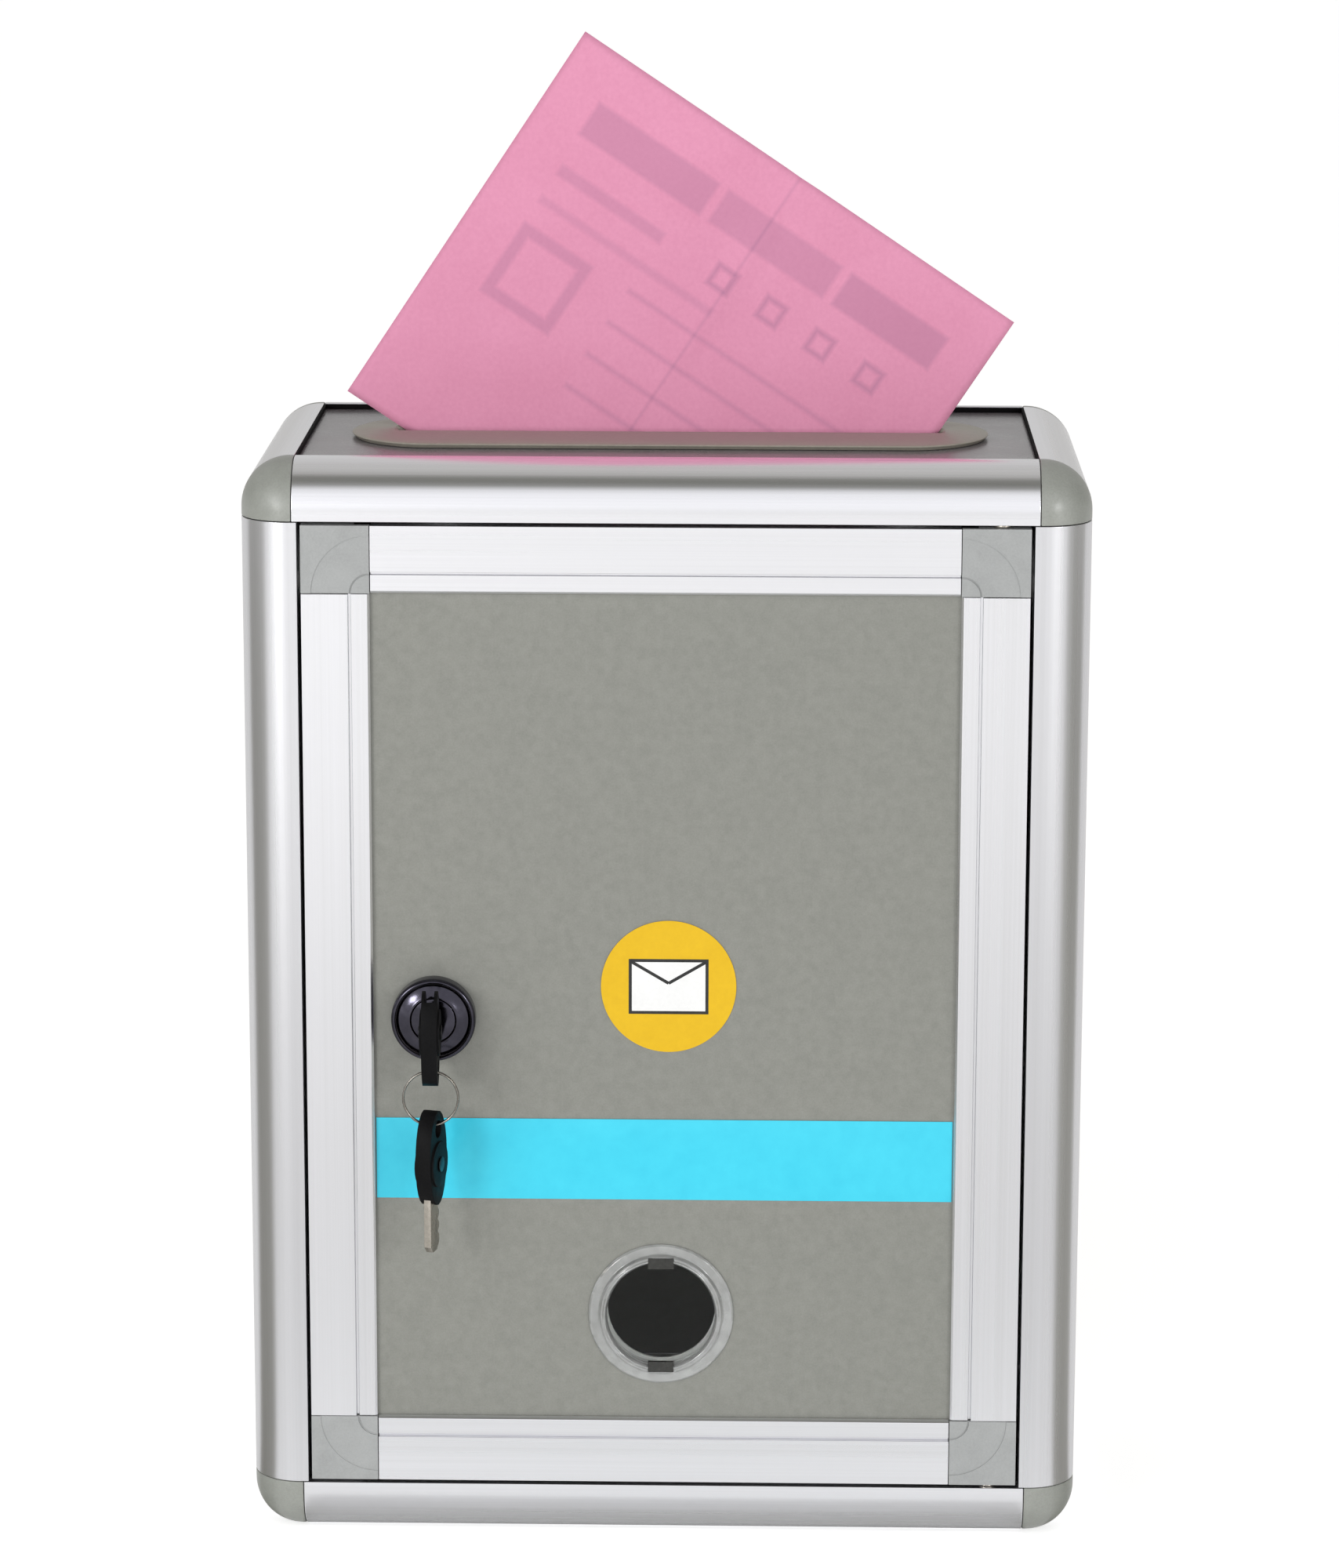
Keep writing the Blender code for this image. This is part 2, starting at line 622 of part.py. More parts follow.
# Door panel
DOOR_PANEL_FRONT = FRONT + DOOR_PANEL_RECESS
DOOR_PANEL_BACK = DOOR_PANEL_FRONT + DOOR_PANEL_THICKNESS
DOOR_PANEL_EDGE = DOOR_GROOVE_BOTTOM + SEAT
door_panel = box(
    "door_panel",
    (DOOR_LEFT + DOOR_PANEL_EDGE, DOOR_PANEL_FRONT, DOOR_BOTTOM + DOOR_PANEL_EDGE),
    (DOOR_RIGHT - DOOR_PANEL_EDGE, DOOR_PANEL_BACK, DOOR_TOP - DOOR_PANEL_EDGE),
    PANEL_GREY,
)
door_items.append(door_panel)

# Hinge: a pin with a spacer washer at each end of the door's right edge
HINGE_INSET = 0.0080
HINGE_DEPTH = 0.0040
PIN_RADIUS = 0.0015
PIN_IN_DOOR = 0.0095
PIN_IN_RAIL = 0.0050
WASHER_RADIUS = 0.00275
HINGE_X = DOOR_RIGHT - HINGE_INSET
HINGE_Y = FRONT + HINGE_DEPTH
for level, (z, inward) in DOOR_LEVELS.items():
    door_end = Vector((HINGE_X, HINGE_Y, z + PIN_IN_DOOR * inward.z))
    rail_end = Vector((HINGE_X, HINGE_Y, z - (DOOR_GAP + PIN_IN_RAIL) * inward.z))
    pin = cylinder(f"hinge_pin_{level}", PIN_RADIUS, door_end, rail_end, STEEL, steps=16)
    socket_end = door_end + inward * SEAT
    socket = cylinder(f"pin_socket_{level}", PIN_RADIUS + TOUCH, socket_end, rail_end, steps=16)
    cut(door_corners[level, "right"], socket)
    bearing = cylinder(f"pin_bearing_{level}", PIN_RADIUS + SEAT, socket_end, rail_end, steps=16)
    cut(front_cross_rails[level], bearing)
    washer_profile = [
        (PIN_RADIUS + TOUCH, TOUCH),
        (PIN_RADIUS + TOUCH, DOOR_GAP - TOUCH),
        (WASHER_RADIUS, DOOR_GAP - TOUCH),
        (WASHER_RADIUS, TOUCH),
    ]
    washer_place = Vector((HINGE_X, HINGE_Y, z))
    washer = turned(f"hinge_washer_{level}", washer_profile, washer_place, -inward, STEEL, steps=16)
    door_items += [pin, washer]

# Stops for the door's free edge, on the left rail
STOP_OVERLAP = 0.0020
STOP_LENGTH = 0.020
STOP_FROM_END = 0.060
for level, (z, inward) in LEVELS.items():
    middle = z + STOP_FROM_END * inward.z
    box(
        "door_stop_" + level,
        (LEFT + DOOR_SIDE_FACE + TOUCH, FRONT + DOOR_THICKNESS + SEAT, middle - STOP_LENGTH / 2),
        (DOOR_LEFT + STOP_OVERLAP, FRONT + SKIN_REACH, middle + STOP_LENGTH / 2),
        BLACK_PLASTIC,
    )

# Window: a clear bezel pushed through the panel, a clear pane in it, a ring snapped on behind
WINDOW_OFFSET = -0.0008
WINDOW_ABOVE_MEMBER = 0.0104
WINDOW_RADIUS = 0.0156
FLANGE_RADIUS = 0.0210
FLANGE_THICKNESS = 0.0008
RAISED_RADIUS = 0.0180
RAISED_HEIGHT = 0.0022
TUBE_WALL = 0.0010
PANE_THICKNESS = 0.0012
PANE_LEDGE = 0.0006
TUBE_REACH = 0.0030
RETAINER_RADIUS = 0.0200
RETAINER_LIP = 0.0010
RETAINER_SKIRT = 0.0022
TAB_WIDTH = 0.0075
TAB_REACH = 0.0016
TAB_THICKNESS = 0.0012
window_height = DOOR_BOTTOM + MEMBER_WIDTH + WINDOW_ABOVE_MEMBER + FLANGE_RADIUS
window_middle = Vector((WINDOW_OFFSET, DOOR_PANEL_FRONT, window_height))
pane_radius = WINDOW_RADIUS + PANE_LEDGE
tube_inside = pane_radius + SEAT
tube_outside = tube_inside + TUBE_WALL
tube_end = -DOOR_PANEL_THICKNESS - TUBE_REACH
bezel_profile = [
    (WINDOW_RADIUS, RAISED_HEIGHT),
    (RAISED_RADIUS, RAISED_HEIGHT),
    (RAISED_RADIUS, TOUCH + FLANGE_THICKNESS),
    (FLANGE_RADIUS, TOUCH + FLANGE_THICKNESS),
    (FLANGE_RADIUS, TOUCH),
    (tube_outside, TOUCH),
    (tube_outside, tube_end),
    (tube_inside, tube_end),
    (tube_inside, -TOUCH),
    (WINDOW_RADIUS, -TOUCH),
]
window_bezel = turned("window_bezel", bezel_profile, window_middle, -Y, CLEAR_PLASTIC, steps=40)
for i, way in enumerate((Z, -Z)):
    tab_front = window_middle - Y * RAISED_HEIGHT
    inner = tab_front + way * (WINDOW_RADIUS - TAB_REACH) - X * TAB_WIDTH / 2
    outer = tab_front + way * (WINDOW_RADIUS + TAB_REACH) + X * TAB_WIDTH / 2 + Y * TAB_THICKNESS
    unite(window_bezel, box(f"window_tab_{i}", inner, outer, CLEAR_PLASTIC))
pane_front = -TOUCH - SEAT
pane_back = pane_front - PANE_THICKNESS
window_pane = cylinder(
    "window_pane",
    pane_radius,
    window_middle - Y * pane_back,
    window_middle - Y * pane_front,
    CLEAR_PLASTIC,
    steps=40,
)
retainer_front = -DOOR_PANEL_THICKNESS - SEAT
retainer_inside = tube_outside + SEAT
ledge_front = tube_end - SEAT
retainer_profile = [
    (retainer_inside, retainer_front),
    (RETAINER_RADIUS, retainer_front),
    (RETAINER_RADIUS, retainer_front - RETAINER_SKIRT),
    (retainer_inside + RETAINER_LIP, ledge_front - RETAINER_LIP),
    (WINDOW_RADIUS, ledge_front - RETAINER_LIP),
    (WINDOW_RADIUS, ledge_front),
    (retainer_inside, ledge_front),
]
window_retainer = turned("window_retainer", retainer_profile, window_middle, -Y, TRIM_GREY, steps=40)
window_hole = cylinder(
    "window_hole",
    tube_outside + SEAT,
    window_middle - Y * OVERRUN,
    window_middle + Y * (DOOR_PANEL_THICKNESS + OVERRUN),
    steps=40,
)
cut(door_panel, window_hole)
door_items += [window_bezel, window_pane, window_retainer]

# Films on the door panel: a blue band across it and a round yellow label
FILM_THICKNESS = 0.0002
BAND_ABOVE_WINDOW = 0.0134
BAND_HEIGHT = 0.0240
LABEL_ABOVE_BAND = 0.02015
LABEL_OFFSET = 0.0012
LABEL_RADIUS = 0.01935
band_bottom = window_height + FLANGE_RADIUS + BAND_ABOVE_WINDOW
band_top = band_bottom + BAND_HEIGHT
label_height = band_top + LABEL_ABOVE_BAND + LABEL_RADIUS
film_back = DOOR_PANEL_FRONT - TOUCH
film_front = film_back - FILM_THICKNESS
blue_band = box(
    "blue_band",
    (DOOR_LEFT + MEMBER_WIDTH + SEAT, film_front, band_bottom),
    (DOOR_RIGHT - MEMBER_WIDTH - SEAT, film_back, band_top),
    BLUE_FILM,
)
label_back = Vector((LABEL_OFFSET, film_back, label_height))
label_front = Vector((LABEL_OFFSET, film_front, label_height))
round_label = cylinder("round_label", LABEL_RADIUS, label_back, label_front, YELLOW_FILM, steps=48)
door_items += [blue_band, round_label]

# Cam lock in the door panel. Heights run out from the panel's front.
LOCK_FROM_DOOR_EDGE = 0.0365
LOCK_ABOVE_BAND = 0.0180
BEZEL_RADIUS = 0.0121
BEZEL_HEIGHT = 0.0050
BEZEL_ROUND = 0.0014
BARREL_RADIUS = 0.0090
BARREL_REACH = 0.0127
PLUG_RADIUS = 0.0063
PLUG_SINK = 0.0003
NUT_ACROSS_FLATS = 0.022
NUT_THICKNESS = 0.004
lock_height = band_top + LOCK_ABOVE_BAND + BEZEL_RADIUS
lock_middle = Vector((DOOR_LEFT + LOCK_FROM_DOOR_EDGE, DOOR_PANEL_FRONT, lock_height))
plug_bore = PLUG_RADIUS + SEAT
bezel_round_centre = (BEZEL_RADIUS - BEZEL_ROUND, BEZEL_HEIGHT - BEZEL_ROUND)
body_profile = [
    (plug_bore, BEZEL_HEIGHT),
    *arc(bezel_round_centre, BEZEL_ROUND, pi / 2, 0, 4),
    (BEZEL_RADIUS, TOUCH),
    (BARREL_RADIUS, TOUCH),
    (BARREL_RADIUS, -BARREL_REACH),
    (plug_bore, -BARREL_REACH),
]
lock_body = turned("lock_body", body_profile, lock_middle, -Y, DARK_CHROME)
lock_hole = cylinder(
    "lock_hole",
    BARREL_RADIUS + SEAT,
    lock_middle - Y * OVERRUN,
    lock_middle + Y * (DOOR_PANEL_THICKNESS + OVERRUN),
    steps=32,
)
cut(door_panel, lock_hole)
nut_front = lock_middle + Y * (DOOR_PANEL_THICKNESS + SEAT)
nut_back = nut_front + Y * NUT_THICKNESS
nut_radius = NUT_ACROSS_FLATS / 2 / cos(pi / 6)
lock_nut = cylinder("lock_nut", nut_radius, nut_front, nut_back, STEEL, steps=6)
nut_bore = cylinder(
    "nut_bore", BARREL_RADIUS + SEAT, nut_front - Y * OVERRUN, nut_back + Y * OVERRUN, steps=32
)
cut(lock_nut, nut_bore)
door_items += [lock_body, lock_nut]

# Lock plug with its keyway, the cam on its squared end and the cam's screw
TENON_WIDTH = 0.0070
CAM_THICKNESS = 0.0015
CAM_REACH = 0.0420
CAM_HUB_RADIUS = 0.0070
CAM_TIP_HALF_WIDTH = 0.0050
SCREW_RADIUS = 0.0018
SCREW_HEAD_RADIUS = 0.0045
SCREW_HEAD_HEIGHT = 0.0025
SCREW_IN_PLUG = 0.0040
cam_front = BARREL_REACH + SEAT
cam_back = cam_front + CAM_THICKNESS
lock_plug = cylinder(
    "lock_plug",
    PLUG_RADIUS,
    lock_middle - Y * (BEZEL_HEIGHT - PLUG_SINK),
    lock_middle + Y * (BARREL_REACH - TOUCH),
    STEEL,
    steps=32,
)
tenon_half = (X + Z) * TENON_WIDTH / 2
tenon_low = lock_middle - tenon_half + Y * (BARREL_REACH - OVERRUN)
tenon = box("tenon", tenon_low, lock_middle + tenon_half + Y * cam_back, STEEL)
unite(lock_plug, tenon)
screw_hole = cylinder(
    "screw_hole",
    SCREW_RADIUS + TOUCH,
    lock_middle + Y * (cam_back - SCREW_IN_PLUG - SEAT),
    lock_middle + Y * (cam_back + OVERRUN),
    steps=16,
)
cut(lock_plug, screw_hole)
cam_outline = [
    *arc((0, 0), CAM_HUB_RADIUS, pi / 6, pi * 11 / 6, 12),
    *arc((CAM_REACH - CAM_TIP_HALF_WIDTH, 0), CAM_TIP_HALF_WIDTH, -pi / 2, pi / 2, 6),
]
socket_half = TENON_WIDTH / 2 + SEAT
cam_socket = [
    (socket_half, socket_half),
    (-socket_half, socket_half),
    (-socket_half, -socket_half),
    (socket_half, -socket_half),
]
cam_middle = lock_middle + Y * (cam_front + cam_back) / 2
lock_cam = extrusion(
    "lock_cam", [cam_outline, cam_socket], cam_middle, -Z, X, CAM_THICKNESS, STEEL
)
screw_start = cam_back - SCREW_IN_PLUG
screw_head_start = cam_back + SEAT
screw_head_end = screw_head_start + SCREW_HEAD_HEIGHT
screw_profile = [
    (0, screw_head_end),
    (SCREW_HEAD_RADIUS, screw_head_end),
    (SCREW_HEAD_RADIUS, screw_head_start),
    (SCREW_RADIUS, screw_head_start),
    (SCREW_RADIUS, screw_start),
    (0, screw_start),
]
cam_screw = turned("cam_screw", screw_profile, lock_middle, Y, STEEL, steps=16, closed=False)
plug_items = [lock_plug, lock_cam, cam_screw]

# Keys: a flat steel blade riveted between the cheeks of a black head that folds on it
PIVOT_FROM_LOCK_FACE = 0.0125
BLADE_LENGTH = 0.0260
BLADE_HALF_HEIGHT = 0.0037
BLADE_THICKNESS = 0.0020
BLADE_TIP = 0.0020
BIT_DEPTH = 0.0012
BIT_HALF_WIDTH = 0.0012
BIT_PLACE_SHARES = (0.52, 0.66, 0.80)
HEAD_BEHIND_PIVOT = 0.0121
HEAD_BEYOND_PIVOT = 0.0156
HEAD_HALF_WIDTH = 0.0075
HEAD_STEPS = 24
HEAD_THICKNESS = 0.0044
HUB_RADIUS = 0.0066
HUB_THICKNESS = 0.0056
RIVET_RADIUS = 0.0015
RIVET_HEAD_RADIUS = 0.0022
RIVET_HEAD_HEIGHT = 0.0004
HEAD_HOLE_RADIUS = 0.0026
HEAD_HOLE_PLACE = 0.0103
CLEVIS_ROOM = 0.0005

blade_outline = [(0, -BLADE_HALF_HEIGHT)]
for share in BIT_PLACE_SHARES:
    bit_place = BLADE_LENGTH * share
    blade_outline += [
        (bit_place - BIT_HALF_WIDTH, -BLADE_HALF_HEIGHT),
        (bit_place, -BLADE_HALF_HEIGHT + BIT_DEPTH),
        (bit_place + BIT_HALF_WIDTH, -BLADE_HALF_HEIGHT),
    ]
blade_outline += [
    (BLADE_LENGTH - BLADE_TIP, -BLADE_HALF_HEIGHT),
    (BLADE_LENGTH, -BLADE_HALF_HEIGHT + BLADE_TIP),
    (BLADE_LENGTH, BLADE_HALF_HEIGHT - BLADE_TIP),
    (BLADE_LENGTH - BLADE_TIP, BLADE_HALF_HEIGHT),
    *arc((0, 0), BLADE_HALF_HEIGHT, pi / 2, pi * 3 / 2, 8)[:-1],
]
head_centre = (HEAD_BEYOND_PIVOT - HEAD_BEHIND_PIVOT) / 2
head_half_length = (HEAD_BEYOND_PIVOT + HEAD_BEHIND_PIVOT) / 2
head_outline = [
    (head_centre + u * head_half_length, v * HEAD_HALF_WIDTH) for u, v in circle((0, 0), 1, HEAD_STEPS)
]
rivet_hole = circle((0, 0), RIVET_RADIUS + TOUCH, 16)
ring_hole = circle((HEAD_HOLE_PLACE, 0), HEAD_HOLE_RADIUS, 16)
rivet_head_start = HUB_THICKNESS / 2 + TOUCH
rivet_end = rivet_head_start + RIVET_HEAD_HEIGHT
rivet_profile = [
    (0, rivet_end),
    (RIVET_HEAD_RADIUS, rivet_end),
    (RIVET_HEAD_RADIUS, rivet_head_start),
    (RIVET_RADIUS, rivet_head_start),
    (RIVET_RADIUS, -rivet_head_start),
    (RIVET_HEAD_RADIUS, -rivet_head_start),
    (RIVET_HEAD_RADIUS, -rivet_end),
    (0, -rivet_end),
]


def key(prefix, pivot, head_way, blade_way, across):
    """A key about its pivot: its head one way, its blade another, both square to the axis."""
    axis = head_way.cross(across)
    blade = extrusion(
        prefix + "key_blade",
        [blade_outline, rivet_hole],
        pivot,
        blade_way,
        axis.cross(blade_way),
        BLADE_THICKNESS,
        STEEL,
    )
    head = extrusion(
        prefix + "key_head",
        [head_outline, ring_hole],
        pivot,
        head_way,
        across,
        HEAD_THICKNESS,
        BLACK_PLASTIC,
    )
    cheek_inside = BLADE_THICKNESS / 2 + SEAT
    slot_end = BLADE_HALF_HEIGHT + CLEVIS_ROOM
    slot_open = -HEAD_BEHIND_PIVOT - OVERRUN
    slot_closed_side = -BLADE_HALF_HEIGHT - SEAT
    slot_open_side = HEAD_HALF_WIDTH + OVERRUN
    slot_spans = (
        axis * 2 * cheek_inside,
        across * (slot_open_side - slot_closed_side),
        head_way * (slot_end - slot_open),
    )
    slot_middle = head_way * (slot_open + slot_end) / 2 + across * (slot_closed_side + slot_open_side) / 2
    clevis = block(prefix + "clevis", pivot + slot_middle, slot_spans)
    cut(head, clevis)
    hub_start = (cheek_inside + HEAD_THICKNESS / 2) / 2
    for side, way in (("left", -axis), ("right", axis)):
        start, end = pivot + way * hub_start, pivot + way * HUB_THICKNESS / 2
        unite(head, cylinder(f"{prefix}hub_{side}", HUB_RADIUS, start, end, BLACK_PLASTIC))
    past_hub = axis * (HUB_THICKNESS / 2 + OVERRUN)
    cheek_holes = cylinder(
        prefix + "cheek_holes", RIVET_RADIUS + TOUCH, pivot - past_hub, pivot + past_hub, steps=16
    )
    cut(head, cheek_holes)
    rivet = turned(
        prefix + "key_rivet", rivet_profile, pivot, axis, STEEL, steps=16, closed=False
    )
    return blade, head, rivet


lock_face = lock_middle - Y * BEZEL_HEIGHT
pivot = lock_face - Y * PIVOT_FROM_LOCK_FACE
key_blade, key_head, key_rivet = key("", pivot, -Z, Y, Y)
keyway_half = X * (BLADE_THICKNESS / 2 + SEAT) + Z * (BLADE_HALF_HEIGHT + SEAT)
blade_end = pivot + Y * (BLADE_LENGTH + SEAT)
keyway = box("keyway", lock_face - Y * OVERRUN - keyway_half, blade_end + keyway_half)
cut(lock_plug, keyway)

# Ring through the head's hole, and the spare key that hangs on it
RING_RADIUS = 0.0078
RING_WIRE_RADIUS = 0.0006
RING_SAG = 0.0012
SPARE_SAG = 0.0011
SPARE_TURN = radians(15)
ring_top = pivot - Z * (HEAD_HOLE_PLACE + RING_SAG)
ring_middle = ring_top - Z * RING_RADIUS
ring_bottom = ring_middle - Z * RING_RADIUS
ring_wire = circle((RING_RADIUS, 0), RING_WIRE_RADIUS, 8)
key_ring = turned("key_ring", ring_wire, ring_middle, Y, STEEL, steps=32)
spare_across = Vector((sin(SPARE_TURN), cos(SPARE_TURN), 0))
spare_pivot = ring_bottom - Z * (SPARE_SAG + HEAD_HOLE_PLACE)
spare_blade, spare_head, spare_rivet = key("spare_", spare_pivot, Z, -Z, spare_across)


def hang(name, place, items, carrier=None):
    """Parents pieces to an empty on their joint's axis, and that to the empty that carries it."""
    joint = bpy.data.objects.new(name, None)
    joint.location = place
    part_collection.objects.link(joint)
    for item in items:
        item.parent = joint
        item.matrix_parent_inverse = Matrix.Translation(-place)
    if carrier:
        joint.parent = carrier
        joint.matrix_parent_inverse = Matrix.Translation(-carrier.location)
    return joint


# The chain of joints. Each empty's location is in the world's frame.
door_joint = hang("door_hinge_axis", Vector((HINGE_X, HINGE_Y, 0)), door_items)
lock_joint = hang("lock_turn_axis", lock_middle, plug_items, door_joint)
key_joint = hang("key_slide_axis", lock_face, [key_blade, key_rivet], lock_joint)
head_joint = hang("key_fold_axis", pivot, [key_head], key_joint)
ring_joint = hang("ring_swing_axis", ring_top, [key_ring], head_joint)
hang("spare_swing_axis", ring_bottom, [spare_blade, spare_head, spare_rivet], ring_joint)
hang("slip_lift_axis", Vector((0, slip_y, rim_crest)), [suggestion_slip])
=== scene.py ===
import json
from math import cos, pi, radians, sin

import bmesh
import bpy
from mathutils import Matrix, Vector

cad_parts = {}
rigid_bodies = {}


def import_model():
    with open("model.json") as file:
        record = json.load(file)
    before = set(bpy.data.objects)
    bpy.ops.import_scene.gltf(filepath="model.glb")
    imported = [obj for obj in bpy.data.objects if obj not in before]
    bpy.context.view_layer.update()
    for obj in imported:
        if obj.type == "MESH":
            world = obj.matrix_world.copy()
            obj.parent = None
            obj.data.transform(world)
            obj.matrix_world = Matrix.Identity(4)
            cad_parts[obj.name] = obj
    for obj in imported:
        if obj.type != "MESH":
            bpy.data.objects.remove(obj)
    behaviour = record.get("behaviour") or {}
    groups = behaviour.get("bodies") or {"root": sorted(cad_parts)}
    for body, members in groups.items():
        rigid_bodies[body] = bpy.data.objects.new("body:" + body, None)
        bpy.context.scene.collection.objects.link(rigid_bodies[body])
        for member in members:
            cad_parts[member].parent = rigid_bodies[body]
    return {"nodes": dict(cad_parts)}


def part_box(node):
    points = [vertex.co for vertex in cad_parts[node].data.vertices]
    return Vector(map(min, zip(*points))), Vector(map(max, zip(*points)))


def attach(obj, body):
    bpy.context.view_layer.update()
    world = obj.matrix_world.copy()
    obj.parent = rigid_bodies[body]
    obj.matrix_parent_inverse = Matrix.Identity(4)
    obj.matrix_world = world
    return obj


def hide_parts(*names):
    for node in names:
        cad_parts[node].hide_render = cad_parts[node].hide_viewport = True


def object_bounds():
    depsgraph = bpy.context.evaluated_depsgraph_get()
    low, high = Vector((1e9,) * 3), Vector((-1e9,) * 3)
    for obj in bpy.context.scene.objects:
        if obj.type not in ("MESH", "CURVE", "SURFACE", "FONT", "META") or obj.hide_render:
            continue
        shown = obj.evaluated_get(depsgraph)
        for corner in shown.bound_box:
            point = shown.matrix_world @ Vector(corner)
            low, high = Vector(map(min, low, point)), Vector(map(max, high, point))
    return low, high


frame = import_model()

X, Y, Z = Vector((1, 0, 0)), Vector((0, 1, 0)), Vector((0, 0, 1))
scene = bpy.context.scene
for item in list(bpy.data.objects):
    if item.name in ("Cube", "Light", "Camera"):
        bpy.data.objects.remove(item, do_unlink=True)
cad_low, cad_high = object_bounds()

# The camera: a long lens about a metre and a half from the box, a little above it and a
# little to its right. The picture's height lies on the sensor's 36 mm.
CAMERA_PLACE = Vector((0.02912, -1.49958, 0.54607))
CAMERA_LENS = 119.44
PITCH, YAW, ROLL = radians(12.576), radians(-1.109), radians(-0.143)
forward = Vector((sin(YAW) * cos(PITCH), cos(YAW) * cos(PITCH), -sin(PITCH)))
level_right = Vector((cos(YAW), -sin(YAW), 0))
level_down = forward.cross(level_right)
right = level_right * cos(ROLL) + level_down * sin(ROLL)
down = level_down * cos(ROLL) - level_right * sin(ROLL)
turn = Matrix((right, -down, -forward)).transposed().to_4x4()
camera = bpy.data.objects.new("camera", bpy.data.cameras.new("camera"))
camera.data.lens = CAMERA_LENS
camera.matrix_world = Matrix.Translation(CAMERA_PLACE) @ turn
scene.collection.objects.link(camera)
scene.camera = camera
scene.view_settings.view_transform = "Standard"

# The studio: a white sweep in an even white surround, with a dark gap round the front reflector.
# The gap and the grey cloth flags at the sides show as the soft bands along the rounded rails; the
# flag in front of the box is painted shade, darkest next to it, and is seen only in reflections.
# Two lamps give the light its sides, and two small ones the glints on the lock.
WHITE = (1.0, 1.0, 1.0)
FRONT_WIDTH = radians(78)
FRONT_HEIGHT = radians(49)
FRONT_END = 0.92
GAP_START = 1.12
GAP_END = 1.56
ROUND_START = 1.80
BAND_REACH = 4.0
NEVER_ZERO = 0.0001
FRONT_LEVEL = (0.98, 0.98, 1.0)
GAP_LEVEL = (0.16, 0.16, 0.14)
ROUND_LEVEL = (0.53, 0.52, 0.50)
FAR_LEVEL = (0.72, 0.72, 0.72)
LAMP_TARGET = Vector((0, 0, 0.15))
LAMPS = {
    "left": (Vector((-1.14, -1.36, 0.80)), 0.6, 5.0),
    "right": (Vector((1.10, -1.45, 0.62)), 0.5, 4.0),
    "left_glint": (Vector((-0.875, -1.54, 0.46)), 0.27, 5.0),
    "right_glint": (Vector((1.02, -1.37, 0.62)), 0.20, 2.2),
}
FLOOR_SIZE = 30.0
FLOOR_DROP = 0.0002
FLOOR_WHITE = (0.80, 0.80, 0.80)
MATT = 0.9
FLOOR_LIFT = 0.62
FLOOR_REACH = 2.0
FLOOR_MIRROR = [(0.10, 0.37), (0.30, 0.18), (0.60, 0.12), (1.0, 0.20), (1.6, 0.46)]
# The sweep's glow for diffuse rays by distance in front of the box: a bounce light, cut low next to the box
# as painted shade under and round it.
FLOOR_BOUNCE = [(0.06, 0.05), (0.14, 0.60), (0.50, 0.12)]
FLAG_START = radians(60)
FLAG_END = radians(113)
FLAG_REACH = 2.5
FLAG_APEX = Vector((0.106, -0.051, 0.0003))
FLAG_GREYS = {-1: (0.38, 0.375, 0.335), 1: (0.53, 0.525, 0.48)}
# The front flag's grey, darkest next to the box, is painted shade on the sweep in front of it.
FLAG_FRONT = ((-0.106, -0.086), (0.106, -0.050))
FLAG_FRONT_SHADE = [(0.064, (0.64, 0.64, 0.62)), (0.070, (0.80, 0.80, 0.79)), (0.086, (1.0, 1.0, 1.0))]


def add_node(tree, kind, inputs=(), **settings):
    """A shader node with its settings, and its inputs set or linked by name or by number."""
    item = tree.nodes.new("ShaderNode" + kind)
    for key, value in settings.items():
        setattr(item, key, value)
    for key, value in dict(inputs).items():
        if isinstance(value, bpy.types.NodeSocket):
            tree.links.new(value, item.inputs[key])
        else:
            item.inputs[key].default_value = value
    return item


def calc(tree, operation, *values):
    """The result of a Math node."""
    return add_node(tree, "Math", enumerate(values), operation=operation).outputs[0]


def mix(tree, share, first, second):
    """Two colours, mixed by a share."""
    first, second = (c if isinstance(c, bpy.types.NodeSocket) else (*c, 1.0) for c in (first, second))
    return add_node(tree, "Mix", {0: share, 6: first, 7: second}, data_type="RGBA").outputs[2]


def ramp(tree, value, *stops):
    """A colour that follows a value, through (place, colour) stops."""
    item = add_node(tree, "ValToRGB", {"Fac": value})
    elements = item.color_ramp.elements
    elements.remove(elements[1])
    elements[0].position, elements[0].color = stops[0][0], (*stops[0][1], 1.0)
    for place, colour in stops[1:]:
        elements.new(place).color = (*colour, 1.0)
    return item.outputs["Color"]


world = bpy.data.worlds.new("studio")
scene.world = world
world.use_nodes = True
tree = world.node_tree
way = add_node(tree, "SeparateXYZ", {0: add_node(tree, "TexCoord").outputs["Generated"]}).outputs
angle = calc(tree, "ARCCOSINE", calc(tree, "MULTIPLY", way["Y"], -1.0))
side = calc(tree, "POWER", way["X"], 2.0)
rise = calc(tree, "POWER", way["Z"], 2.0)
side_share = calc(tree, "DIVIDE", side, FRONT_WIDTH**2)
rise_share = calc(tree, "DIVIDE", rise, FRONT_HEIGHT**2)
narrowed = calc(tree, "ADD", side_share, rise_share)
plain = calc(tree, "ADD", calc(tree, "ADD", side, rise), NEVER_ZERO)
reach = calc(tree, "MULTIPLY", angle, calc(tree, "SQRT", calc(tree, "DIVIDE", narrowed, plain)))
surround = ramp(
    tree,
    calc(tree, "DIVIDE", reach, BAND_REACH),
    (0.0, FRONT_LEVEL),
    (FRONT_END / BAND_REACH, FRONT_LEVEL),
    (GAP_START / BAND_REACH, GAP_LEVEL),
    (GAP_END / BAND_REACH, GAP_LEVEL),
    (ROUND_START / BAND_REACH, ROUND_LEVEL),
    (1.0, FAR_LEVEL),
)
ray = add_node(tree, "LightPath").outputs
seen = calc(tree, "MAXIMUM", ray["Is Camera Ray"], ray["Is Transmission Ray"])
tree.links.new(mix(tree, seen, surround, WHITE), tree.nodes["Background"].inputs["Color"])

